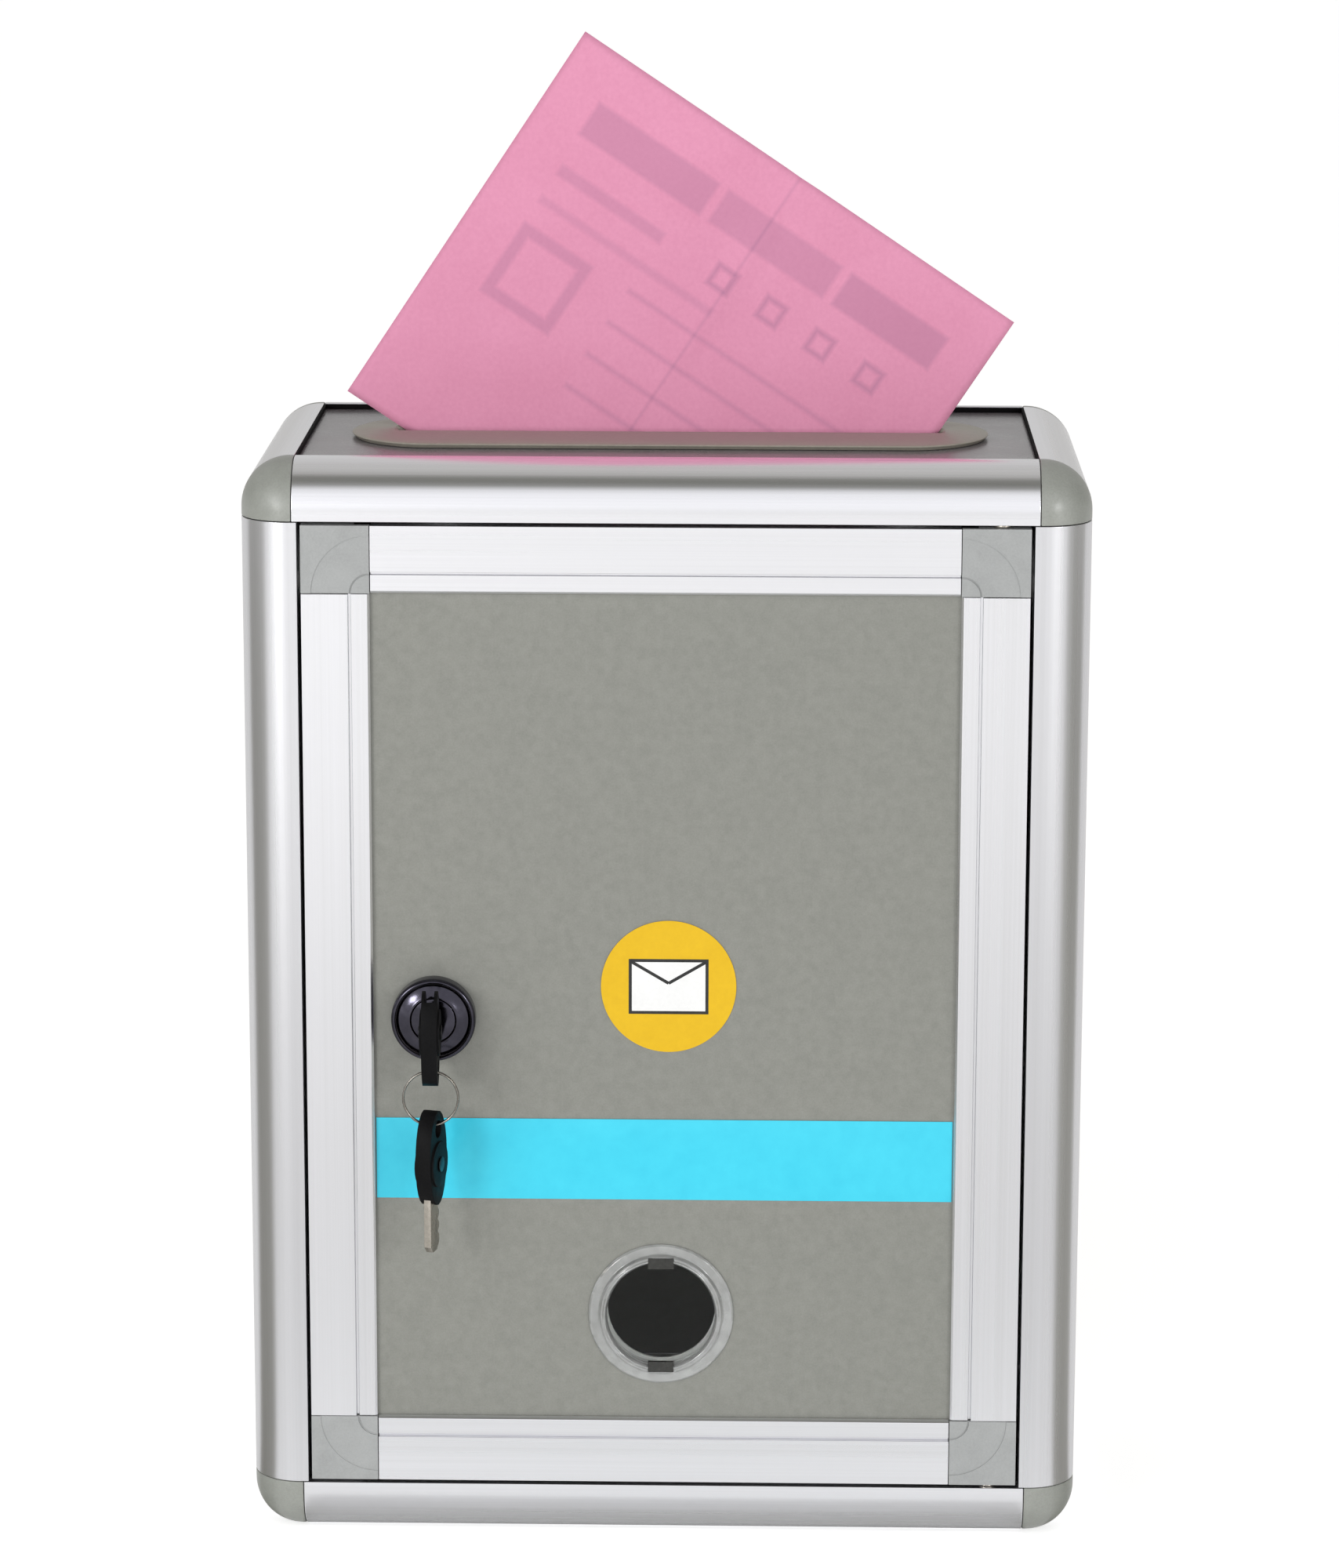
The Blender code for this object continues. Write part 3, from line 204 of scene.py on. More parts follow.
for name, (place, size, power) in LAMPS.items():
    lamp = bpy.data.objects.new("lamp_" + name, bpy.data.lights.new("lamp_" + name, "AREA"))
    lamp.data.size = size
    lamp.data.energy = power
    lamp.location = place
    lamp.rotation_euler = (LAMP_TARGET - place).to_track_quat("-Z", "Y").to_euler()
    scene.collection.objects.link(lamp)

shape = bmesh.new()
bmesh.ops.create_grid(shape, x_segments=1, y_segments=1, size=FLOOR_SIZE / 2)
bmesh.ops.translate(shape, vec=-Z * FLOOR_DROP, verts=shape.verts)
mesh = bpy.data.meshes.new("floor")
shape.to_mesh(mesh)
shape.free()
floor_material = bpy.data.materials.new("white_sweep")
floor_material.use_nodes = True
tree = floor_material.node_tree
shader = tree.nodes["Principled BSDF"]
shader.inputs["Base Color"].default_value = (*FLOOR_WHITE, 1.0)
shader.inputs["Roughness"].default_value = MATT
shader.inputs["Specular IOR Level"].default_value = 0.0
shader.inputs["Emission Color"].default_value = (*WHITE, 1.0)
ray = add_node(tree, "LightPath").outputs
seen = calc(tree, "MAXIMUM", ray["Is Camera Ray"], ray["Is Transmission Ray"])
lift = calc(tree, "MULTIPLY", seen, FLOOR_LIFT)
place = add_node(tree, "SeparateXYZ", {0: add_node(tree, "TexCoord").outputs["Object"]}).outputs["Y"]
ahead = calc(tree, "MULTIPLY", place, -1 / FLOOR_REACH)
# For reflected and diffuse rays the sweep glows by its distance in front; the diffuse glow's dip next to the
# box is painted shade.
for kind, levels in (("Is Glossy Ray", FLOOR_MIRROR), ("Is Diffuse Ray", FLOOR_BOUNCE)):
    stops = [(distance / FLOOR_REACH, (level,) * 3) for distance, level in levels]
    level = calc(tree, "MULTIPLY", ray[kind], ramp(tree, ahead, *stops))
    lift = calc(tree, "MAXIMUM", lift, level)
tree.links.new(lift, shader.inputs["Emission Strength"])
mesh.materials.append(floor_material)
floor = bpy.data.objects.new("floor", mesh)
scene.collection.objects.link(floor)

flags = {}
for name, way in (("flag_left", -1), ("flag_right", 1)):
    apex = Vector((FLAG_APEX.x * way, FLAG_APEX.y, FLAG_APEX.z))
    flags[name] = ([(0.0, FLAG_GREYS[way])], [apex])
    for angle in (FLAG_START, FLAG_END):
        flags[name][1].append(apex + Vector((sin(angle) * way, -cos(angle), 0)) * FLAG_REACH)
# The front flag: a sheet from grey next to the box to white, painted shade seen in reflections.
(left_x, front_y), (right_x, back_y) = FLAG_FRONT
front_corners = [(left_x, front_y), (right_x, front_y), (right_x, back_y), (left_x, back_y)]
flags["flag_front"] = (FLAG_FRONT_SHADE, [Vector((*corner, FLAG_APEX.z)) for corner in front_corners])
for name, (stops, corners) in flags.items():
    shape = bmesh.new()
    face = shape.faces.new([shape.verts.new(corner) for corner in corners])
    face.normal_update()
    if face.normal.z < 0:
        face.normal_flip()
    mesh = bpy.data.meshes.new(name)
    shape.to_mesh(mesh)
    shape.free()
    flag_sheet = bpy.data.materials.new(name + "_cloth")
    flag_sheet.use_nodes = True
    tree = flag_sheet.node_tree
    place = add_node(tree, "SeparateXYZ", {0: add_node(tree, "TexCoord").outputs["Object"]}).outputs["Y"]
    shader = tree.nodes["Principled BSDF"]
    tree.links.new(ramp(tree, calc(tree, "MULTIPLY", place, -1.0), *stops), shader.inputs["Base Color"])
    shader.inputs["Roughness"].default_value = MATT
    mesh.materials.append(flag_sheet)
    flag = bpy.data.objects.new(name, mesh)
    flag.visible_camera = False
    flag.visible_diffuse = False
    flag.visible_shadow = False
    scene.collection.objects.link(flag)

# Rails of the case: aluminium sections with a round outer edge, extruded, cut to length and
# anodised silver. The upright ones get a darker copy of the finish, painted shade for the less
# light they catch. The panels sit in their grooves, and a moulded corner plugs into each end.
CASE_MIDDLE = Vector((0, 0, 0.1585))
CASE_FRONT = 0.065
EDGE_RADIUS = 0.014
SKIN_REACH = 0.015
DOOR_SIDE_FACE = 0.0166
GROOVE = (0.0015, 0.0051)
GROOVE_BOTTOM = 0.011
GROOVE_LIP = 0.0064
EDGE_STEPS = 24
RAIL_EDGE = 0.0002
ALUMINIUM_DARK = (0.82, 0.82, 0.84)
ALUMINIUM_LIGHT = (0.90, 0.90, 0.93)
# The upright rails' colours are scaled down by this share: painted shade.
UPRIGHT_SHADE_SHARE = 0.87
LINE_WIDTH = 0.0007
LINE_LENGTH = 0.25
NOISE_LOW, NOISE_HIGH = 0.3, 0.7
plain_rail = [
    (0, 0),
    (0, SKIN_REACH),
    (GROOVE[0], SKIN_REACH),
    (GROOVE[0], GROOVE_BOTTOM),
    (GROOVE[1], GROOVE_BOTTOM),
    (GROOVE[1], SKIN_REACH),
    (GROOVE_LIP, SKIN_REACH),
    (GROOVE_LIP, GROOVE_BOTTOM),
    (GROOVE_BOTTOM, GROOVE_BOTTOM),
    (GROOVE_BOTTOM, GROOVE_LIP),
    (SKIN_REACH, GROOVE_LIP),
    (SKIN_REACH, GROOVE[1]),
    (GROOVE_BOTTOM, GROOVE[1]),
    (GROOVE_BOTTOM, GROOVE[0]),
    (SKIN_REACH, GROOVE[0]),
    (SKIN_REACH, 0),
]
door_side_rail = [*plain_rail[:6], (DOOR_SIDE_FACE, SKIN_REACH), (DOOR_SIDE_FACE, 0)]


def new_group(name, inputs, outputs):
    """A shader node group with named sockets, and its two end nodes."""
    group = bpy.data.node_groups.new(name, "ShaderNodeTree")
    for label, kind, value in inputs:
        socket = group.interface.new_socket(name=label, in_out="INPUT", socket_type="NodeSocket" + kind)
        if value is not None:
            socket.default_value = value
    for label, kind in outputs:
        group.interface.new_socket(name=label, in_out="OUTPUT", socket_type="NodeSocket" + kind)
    return group, group.nodes.new("NodeGroupInput").outputs, group.nodes.new("NodeGroupOutput").inputs


grain, into, out = new_group(
    "grain",
    [("Position", "Vector", None), ("Stretch", "Vector", None), ("Broad Share", "Float", 0.1)],
    [("Fine", "Float"), ("Broad", "Float"), ("Both", "Float")],
)
stretched = add_node(grain, "VectorMath", {0: into["Position"], 1: into["Stretch"]}, operation="MULTIPLY")
widened = add_node(grain, "VectorMath", {0: stretched.outputs[0]}, operation="SCALE")
grain.links.new(into["Broad Share"], widened.inputs["Scale"])
for label, place in (("Fine", stretched.outputs[0]), ("Broad", widened.outputs[0])):
    noise = add_node(grain, "TexNoise", {"Vector": place, "Scale": 1.0, "Detail": 3.0, "Roughness": 0.6})
    limits = {"From Min": NOISE_LOW, "From Max": NOISE_HIGH}
    spread = add_node(grain, "MapRange", {"Value": noise.outputs[0], **limits})
    grain.links.new(spread.outputs[0], out[label])
fine, broad = (link.from_socket for link in grain.links if link.to_node.bl_idname == "NodeGroupOutput")
grain.links.new(calc(grain, "MULTIPLY", calc(grain, "ADD", fine, broad), 0.5), out["Both"])


def finish(name, dark, light, spacing, roughness, relief=0.0, broad_share=0.1, **fixed):
    """A material whose colour, gloss and relief follow a grain of the given spacings in metres."""
    material = bpy.data.materials.new(name)
    material.use_nodes = True
    tree = material.node_tree
    shader = tree.nodes["Principled BSDF"]
    place = add_node(tree, "TexCoord").outputs["Object"]
    stretch = [1 / step for step in spacing]
    sockets = {"Position": place, "Stretch": stretch, "Broad Share": broad_share}
    drawn = add_node(tree, "Group", sockets, node_tree=grain).outputs
    colour = mix(tree, drawn["Both"], dark, light)
    low, high = roughness
    gloss = add_node(tree, "MapRange", {"Value": drawn["Broad"], "To Min": low, "To Max": high})
    tree.links.new(colour, shader.inputs["Base Color"])
    tree.links.new(gloss.outputs[0], shader.inputs["Roughness"])
    if relief:
        bump = add_node(tree, "Bump", {"Height": drawn["Fine"], "Distance": relief, "Strength": 1.0})
        tree.links.new(bump.outputs[0], shader.inputs["Normal"])
    for key, value in fixed.items():
        shader.inputs[key.replace("_", " ")].default_value = value
    return material


def anodised(name, along, share=1.0):
    """Anodised aluminium, with the extrusion's fine lines along one axis; a share below one darkens it as
    painted shade.
    """
    spacing = [LINE_LENGTH if i == along else LINE_WIDTH for i in range(3)]
    dark, light = ([share * level for level in colour] for colour in (ALUMINIUM_DARK, ALUMINIUM_LIGHT))
    return finish(name, dark, light, spacing, (0.25, 0.31), 0.0000012, Metallic=1.0)


ANODISED = [anodised(f"anodised_along_{axis}", i) for i, axis in enumerate("xyz")]
# The upright rails' darker copy of the finish: painted shade.
SHADED_UPRIGHT = anodised("anodised_upright_shaded", 2, UPRIGHT_SHADE_SHARE)


def put(name, shape, materials, body, nodes, edge=0.0, steps=2, angle=35):
    """Makes a piece from a finished bmesh, rides it on its body and stands it for its nodes."""
    mesh = bpy.data.meshes.new(name)
    shape.to_mesh(mesh)
    shape.free()
    for material in materials:
        mesh.materials.append(material)
    mesh.shade_smooth()
    piece = bpy.data.objects.new(name, mesh)
    scene.collection.objects.link(piece)
    if edge:
        modifier = piece.modifiers.new("edge", "BEVEL")
        modifier.width = edge
        modifier.segments = steps
        modifier.limit_method = "ANGLE"
        modifier.angle_limit = radians(angle)
        modifier.harden_normals = True
    else:
        mesh.set_sharp_from_angle(angle=radians(angle))
    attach(piece, body)
    if nodes:
        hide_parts(*nodes)
    return piece


def bar(node, outline, rounding=0.0):
    """A section pulled along its node's longest side. Its first corner is the outer one."""
    low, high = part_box(node)
    spans = high - low
    along = max(range(3), key=lambda i: spans[i])
    across, up = (2 if along == 0 else 0), (2 if along == 1 else 1)
    corner = low.copy()
    ways = [X, Y, Z]
    for i in (across, up):
        if high[i] - CASE_MIDDLE[i] > CASE_MIDDLE[i] - low[i]:
            corner[i] = high[i]
            ways[i] = -ways[i]
    shape = bmesh.new()
    face = shape.faces.new([shape.verts.new((u, v, 0)) for u, v in outline])
    lifted = bmesh.ops.extrude_face_region(shape, geom=[face])["geom"]
    tip = [item for item in lifted if isinstance(item, bmesh.types.BMVert)]
    bmesh.ops.translate(shape, vec=Z * spans[along], verts=tip)
    if rounding:
        outer = [edge for edge in shape.edges if all(vert.co.xy.length < RAIL_EDGE for vert in edge.verts)]
        bmesh.ops.bevel(
            shape,
            geom=outer,
            offset=rounding,
            offset_type="OFFSET",
            affect="EDGES",
            segments=EDGE_STEPS,
            profile=0.5,
            material=-1,
        )
    place = Matrix((ways[across], ways[up], ways[along])).transposed().to_4x4()
    bmesh.ops.transform(shape, matrix=Matrix.Translation(corner) @ place, verts=shape.verts)
    bmesh.ops.recalc_face_normals(shape, faces=shape.faces)
    return shape, along


for end in ("front", "back"):
    for side in ("top", "bottom", "left", "right"):
        node = f"{end}_{side}_rail"
        outline = door_side_rail if end == "front" else plain_rail
        shape, along = bar(node, outline, EDGE_RADIUS)
        skin = SHADED_UPRIGHT if along == 2 else ANODISED[along]
        put(node + "_skin", shape, [skin], "case", [node], RAIL_EDGE)
for level in ("top", "bottom"):
    for side in ("left", "right"):
        node = f"{level}_{side}_rail"
        shape, along = bar(node, plain_rail, EDGE_RADIUS)
        put(node + "_skin", shape, [ANODISED[along]], "case", [node], RAIL_EDGE)

# Corners of the case: grey nylon mouldings with a ball corner, pushed into the ends of three
# rails. Their skin is a fine spark texture.
CORNER_STEPS = 20
CORNER_EDGE = 0.0003
CORNER_DARK = (0.262, 0.272, 0.245)
CORNER_LIGHT = (0.34, 0.35, 0.32)
SPARK_SPACING = (0.0006, 0.0006, 0.0006)
moulded_grey = finish(
    "moulded_grey", CORNER_DARK, CORNER_LIGHT, SPARK_SPACING, (0.28, 0.38), 0.000012, 0.08, IOR=1.55
)
for end in ("front", "back"):
    for level in ("top", "bottom"):
        for side in ("left", "right"):
            node = f"corner_{end}_{level}_{side}"
            low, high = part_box(node)
            reach = DOOR_SIDE_FACE if end == "front" else SKIN_REACH
            size = Vector((SKIN_REACH, SKIN_REACH, reach))
            inward = (side == "left", end == "front", level == "bottom")
            ways = Vector([1 if way else -1 for way in inward])
            corner = Vector([low[i] if ways[i] > 0 else high[i] for i in range(3)])
            shape = bmesh.new()
            bmesh.ops.create_cube(shape, size=1)
            bmesh.ops.scale(shape, vec=size, verts=shape.verts)
            bmesh.ops.translate(shape, vec=size / 2, verts=shape.verts)
            outer = min(shape.verts, key=lambda vert: vert.co.length)
            bmesh.ops.bevel(
                shape,
                geom=list(outer.link_edges),
                offset=EDGE_RADIUS,
                offset_type="OFFSET",
                affect="EDGES",
                segments=CORNER_STEPS,
                profile=0.5,
                material=-1,
            )
            bmesh.ops.scale(shape, vec=ways, verts=shape.verts)
            bmesh.ops.translate(shape, vec=corner, verts=shape.verts)
            bmesh.ops.recalc_face_normals(shape, faces=shape.faces)
            put(node + "_ball", shape, [moulded_grey], "case", [node], CORNER_EDGE)

# Panels of the case: 3 mm laminated board, slid into the rails' grooves. The top one has a
# glossy film face with a purplish cast, the others a pearl grey one, whose fine flakes show as
# a light mottle. The back one has two keyholes to hang the box by.
PANEL_DARK = (0.165, 0.153, 0.162)
PANEL_LIGHT = (0.225, 0.210, 0.220)
PANEL_GRAIN = (0.0009, 0.0009, 0.0009)
WELD = 0.000002
FLAT_ANGLE = radians(0.6)
glossy_grey = finish(
    "glossy_grey", PANEL_DARK, PANEL_LIGHT, PANEL_GRAIN, (0.20, 0.27), 0.000003, 0.06, IOR=1.5
)
DOOR_DARK = (0.215, 0.219, 0.196)
DOOR_LIGHT = (0.277, 0.278, 0.250)
PEARL_SPACING = (0.0005, 0.0005, 0.0005)
pearl_grey = finish(
    "pearl_grey", DOOR_DARK, DOOR_LIGHT, PEARL_SPACING, (0.34, 0.46), 0.000006, 0.22, IOR=1.48, Metallic=0.15
)


def merged(node):
    """A copy of a node's mesh, its loose triangles joined into whole flat faces."""
    shape = bmesh.new()
    shape.from_mesh(frame["nodes"][node].data)
    bmesh.ops.remove_doubles(shape, verts=shape.verts, dist=WELD)
    bmesh.ops.dissolve_limit(shape, angle_limit=FLAT_ANGLE, verts=shape.verts, edges=shape.edges)
    for face in shape.faces:
        face.material_index = 0
    return shape


for side in ("top", "bottom", "left", "right", "back"):
    node = side + "_panel"
    face = glossy_grey if side == "top" else pearl_grey
    put(node + "_board", merged(node), [face], "case", [node])

# Shade strip: a thin black strip all round the top panel, flat against the rails' inner walls,
# where it shows as a dark line: painted shade in the joint.
SHADE_STRIP_WIDTH = 0.0006
SHADE_STRIP_RISE = 0.0015
SHADE_STRIP_DARK = (0.003, 0.003, 0.003)
SHADE_STRIP_LIGHT = (0.008, 0.008, 0.008)
SHADE_STRIP_SPACING = (0.0008,) * 3
shade_strip_finish = finish(
    "black_painted_shade", SHADE_STRIP_DARK, SHADE_STRIP_LIGHT, SHADE_STRIP_SPACING, (0.75, 0.9), 0.00001, Specular_IOR_Level=0.1
)


def block(low, high):
    """A box between two corners."""
    low, high = Vector(low), Vector(high)
    shape = bmesh.new()
    bmesh.ops.create_cube(shape, size=1)
    bmesh.ops.scale(shape, vec=high - low, verts=shape.verts)
    bmesh.ops.translate(shape, vec=(low + high) / 2, verts=shape.verts)
    return shape


panel_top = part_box("top_panel")[1].z
inside_x = cad_high.x - SKIN_REACH
inside_y = CASE_FRONT - SKIN_REACH
strips = {
    "back": ((-inside_x, inside_y - SHADE_STRIP_WIDTH), (inside_x, inside_y)),
    "front": ((-inside_x, -inside_y), (inside_x, SHADE_STRIP_WIDTH - inside_y)),
    "left": ((-inside_x, SHADE_STRIP_WIDTH - inside_y), (SHADE_STRIP_WIDTH - inside_x, inside_y - SHADE_STRIP_WIDTH)),
    "right": ((inside_x - SHADE_STRIP_WIDTH, SHADE_STRIP_WIDTH - inside_y), (inside_x, inside_y - SHADE_STRIP_WIDTH)),
}
# Each strip is painted shade along one side of the top panel's joint.
for side, (low, high) in strips.items():
    strip = block((*low, panel_top), (*high, panel_top + SHADE_STRIP_RISE))
    put("painted_shade_strip_" + side, strip, [shade_strip_finish], "case", [], SHADE_STRIP_WIDTH / 4)

# Door members: a stepped aluminium section with a shadow groove and a chamfered inner strip,
# anodised like the rails. They hold the door panel in a groove.
MEMBER_EDGE = 0.00015
member_outline = [
    (0, 0),
    (0, 0.0100),
    (0.0130, 0.0100),
    (0.0130, 0.0071),
    (0.0170, 0.0071),
    (0.0170, 0.0058),
    (0.0145, 0.0058),
    (0.0145, 0.0022),
    (0.0193, 0.0022),
    (0.0193, 0.0012),
    (0.0186, 0.0005),
    (0.0140, 0.0005),
    (0.0140, 0.0016),
    (0.0132, 0.0016),
    (0.0132, 0),
]
for side in ("top", "bottom", "left", "right"):
    node = f"door_{side}_member"
    shape, along = bar(node, member_outline)
    put(node + "_skin", shape, [ANODISED[along]], "door", [node], MEMBER_EDGE)

# Door corners: square grey mouldings with a leg in each member. A shallow quarter disc is
# sunk round the inner corner, and a small quarter-round pad stands in it.
CAP_WIDTH = 0.0193
CAP_THICKNESS = 0.0022
CAP_BLOCK = 0.0145
CAP_BLOCK_START = 0.0011
CAP_DEPTH = 0.010
CUT_REACH = 0.001
DISC_RADIUS = 0.0165
DISC_SINK = 0.00025
PAD_RADIUS = 0.0052
PAD_GROOVE = 0.0005
PAD_GROOVE_SINK = 0.0006
CAP_EDGE = 0.00015
CAP_DARK = (0.31, 0.318, 0.315)
CAP_LIGHT = (0.385, 0.394, 0.39)
cap_grey = finish("cap_grey", CAP_DARK, CAP_LIGHT, SPARK_SPACING, (0.34, 0.44), 0.000015, 0.08, IOR=1.5)


def combined(shape, operation, *others):
    """One shape joined to, or cut by, the others. The others are used up."""
    items = []
    for part in (shape, *others):
        mesh = bpy.data.meshes.new("working")
        part.to_mesh(mesh)
        part.free()
        item = bpy.data.objects.new("working", mesh)
        scene.collection.objects.link(item)
        items.append(item)
    for item in items[1:]:
        modifier = items[0].modifiers.new("work", "BOOLEAN")
        modifier.operation = operation
        modifier.solver = "EXACT"
        modifier.object = item
    result = bmesh.new()
    result.from_object(items[0], bpy.context.evaluated_depsgraph_get())
    for item in items:
        mesh = item.data
        bpy.data.objects.remove(item, do_unlink=True)
        bpy.data.meshes.remove(mesh)
    return result


def turned(profile, at, axis, steps=96, closed=True, angle=2 * pi):
    """A profile of (radius, height) points, turned about the axis through a point."""
    shape = bmesh.new()
    points = [shape.verts.new((radius, 0, height)) for radius, height in profile]
    following = points[1:] + points[:1] if closed else points[1:]
    edges = [shape.edges.new(pair) for pair in zip(points, following)]
    bmesh.ops.spin(
        shape, geom=points + edges, axis=Z, cent=(0, 0, 0), angle=angle, steps=steps, use_merge=True
    )
    bmesh.ops.remove_doubles(shape, verts=shape.verts, dist=WELD)
    place = Z.rotation_difference(Vector(axis)).to_matrix().to_4x4()
    bmesh.ops.transform(shape, matrix=Matrix.Translation(at) @ place, verts=shape.verts)
    bmesh.ops.recalc_face_normals(shape, faces=shape.faces)
    return shape


def disc(radius, at, axis, inside, outside):
    """A round cutter or boss about a point, between two heights along an axis."""
    return turned([(0, inside), (radius, inside), (radius, outside), (0, outside)], at, axis, closed=False)


for level in ("top", "bottom"):
    for side in ("left", "right"):
        node = f"door_corner_{level}_{side}"
        low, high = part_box(node)
        to_x = 1 if side == "left" else -1
        to_z = 1 if level == "bottom" else -1
        corner = Vector((low.x if to_x > 0 else high.x, low.y, low.z if to_z > 0 else high.z))
        inner = corner + Vector((to_x, 0, to_z)) * CAP_WIDTH
        cap = block(corner, inner + Y * CAP_THICKNESS)
        sink = disc(DISC_RADIUS, inner, -Y, -DISC_SINK, CUT_REACH)
        groove = turned(
            [
                (PAD_RADIUS, -PAD_GROOVE_SINK),
                (PAD_RADIUS + PAD_GROOVE, -PAD_GROOVE_SINK),
                (PAD_RADIUS + PAD_GROOVE, CUT_REACH),
                (PAD_RADIUS, CUT_REACH),
            ],
            inner,
            -Y,
        )
        cap = combined(cap, "DIFFERENCE", sink, groove)
        back = corner + Vector((to_x, 0, to_z)) * CAP_BLOCK + Y * CAP_DEPTH
        cap = combined(cap, "UNION", block(corner + Y * CAP_BLOCK_START, back))
        put(node + "_cap", cap, [cap_grey], "door", [node], CAP_EDGE)

# Door panel: the same pearl grey board, held in the members' grooves and bored for the lock
# and the window.
put("door_panel_board", merged("door_panel"), [pearl_grey], "door", ["door_panel"])

# Slot trim: a long low moulding in olive grey styrene, domed to its middle and undercut at
# its edge, with a sleeve that goes down through the top panel.
RIM_STEPS = 24
RIM_DOME_STEPS = 10
RIM_LIFT = 0.0001
RIM_EDGE_RISE = 0.0011
RIM_UNDERCUT = 0.0011
RIM_DOME_REACH = 0.0085
RIM_END_REACH = 0.024
RIM_SIDE_MARGIN = 0.0006
SLOT_HALF_LENGTH = 0.0792
SLOT_HALF_WIDTH = 0.0040
SLOT_CORNER = 0.0015
SLEEVE_WALL = 0.0015
SLOT_LIP = 0.0008
RIM_ROUNDING = 0.00015
RIM_DARK = (0.285, 0.265, 0.22)
RIM_LIGHT = (0.36, 0.335, 0.28)
olive_trim = finish("olive_trim", RIM_DARK, RIM_LIGHT, (0.0012,) * 3, (0.36, 0.44), 0.000002, IOR=1.46)
rim_low, rim_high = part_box("slot_rim")
rim_base = panel_top + RIM_LIFT
dome_base = rim_base + RIM_EDGE_RISE


def quartered(shape, middle, radii, height):
    """A ring of four quarter ellipses, placed about the middles of its four corners."""
    ring = []
    for way_x, way_y, turns in ((1, 1, 0), (-1, 1, 1), (-1, -1, 0), (1, -1, 1)):
        for i in range(RIM_STEPS):
            place = (i + 0.5) / RIM_STEPS
            angle = pi / 2 * (1 - place if turns else place)
            x = way_x * (middle[0] + radii[0] * cos(angle))
            y = way_y * (middle[1] + radii[1] * sin(angle))
            ring.append(shape.verts.new((x, y, height)))
    return ring


def rim_ring(shape, inset, height):
    """The trim's outline, long with elliptical ends, drawn in by an inset."""
    middle = (rim_high.x - RIM_END_REACH, 0)
    radii = (RIM_END_REACH - inset, rim_high.y - RIM_SIDE_MARGIN - inset)
    return quartered(shape, middle, radii, height)


def slot_ring(shape, grow, height):
    """The slot's outline with rounded corners, grown by a margin."""
    middle = (SLOT_HALF_LENGTH - SLOT_CORNER, SLOT_HALF_WIDTH - SLOT_CORNER)
    return quartered(shape, middle, (SLOT_CORNER + grow, SLOT_CORNER + grow), height)


shape = bmesh.new()
rings = [
    slot_ring(shape, 0, rim_low.z),
    slot_ring(shape, 0, rim_high.z - SLOT_LIP),
    slot_ring(shape, SLOT_LIP, rim_high.z),
]
for i in range(RIM_DOME_STEPS, -1, -1):
    angle = pi / 2 * i / RIM_DOME_STEPS
    dome = (rim_high.z - dome_base) * sin(angle)
    rings.append(rim_ring(shape, RIM_DOME_REACH * (1 - cos(angle)), dome_base + dome))
rings.append(rim_ring(shape, RIM_UNDERCUT, rim_base))
rings.append(slot_ring(shape, SLEEVE_WALL, rim_base))
rings.append(slot_ring(shape, SLEEVE_WALL, rim_low.z))
rings.append(rings[0])
for first, second in zip(rings, rings[1:]):
    for i in range(len(first)):
        j = (i + 1) % len(first)
        shape.faces.new((first[i], first[j], second[j], second[i]))
bmesh.ops.recalc_face_normals(shape, faces=shape.faces)
put("slot_rim_moulding", shape, [olive_trim], "case", ["slot_rim"], RIM_ROUNDING, angle=38)

# Slip: a sheet of pink paper, folded once and opened again, standing askew in the slot. A plain
# form printed on its far side shows through as soft mauve rules and boxes; the fold's line is a
# mauve stripe of painted shade along the crease.
SLIP_LENGTH = 0.1496
SLIP_WIDTH = 0.1250
SLIP_TILT = radians(33.7)
SLIP_FOOT = Vector((0.0303, 0.00325, 0.2445))
SLIP_STEPS = (60, 50)
SLIP_LEAN = 0.004
SLIP_BOW = 0.0015
SLIP_HELD_SHARE = 0.25
SLIP_CREASE = 0.0010
SLIP_CREASE_REACH = 0.005
SLIP_THICKNESS = 0.00018
SLOT_TOP = rim_high.z
PAPER_DARK = (0.69, 0.262, 0.405)
PAPER_LIGHT = (0.765, 0.318, 0.472)
PRINT_AND_CREASE_MAUVE = (0.43, 0.18, 0.30)
BLOCK_EDGE_SOFT = 0.0007
PRINT_AND_CREASE_STRENGTH = 0.9
paper = finish("pink_paper", PAPER_DARK, PAPER_LIGHT, (0.0012,) * 3, (0.75, 0.9), 0.00001, 0.05, IOR=1.45)
tree = paper.node_tree
# The soft blocks serve both the print and the fold's painted shade.
printed, into, out = new_group(
    "soft_block_mask",
    [
        ("Position", "Vector", None),
        ("Across", "Float", 0.0),
        ("Up", "Float", 0.0),
        ("Half Length", "Float", 0.01),
        ("Half Height", "Float", 0.01),
    ],
    [("Mask", "Float")],
)
place = add_node(printed, "SeparateXYZ", {0: into["Position"]}).outputs
distances = []
for axis, middle, half in (("X", "Across", "Half Length"), ("Y", "Up", "Half Height")):
    off = calc(printed, "ABSOLUTE", calc(printed, "SUBTRACT", place[axis], into[middle]))
    distances.append(calc(printed, "SUBTRACT", off, into[half]))
outside = calc(printed, "MAXIMUM", *distances)
faded = add_node(
    printed,
    "MapRange",
    {"Value": outside, "From Min": -BLOCK_EDGE_SOFT, "From Max": BLOCK_EDGE_SOFT, "To Min": 1.0, "To Max": 0.0},
)
printed.links.new(faded.outputs[0], out["Mask"])
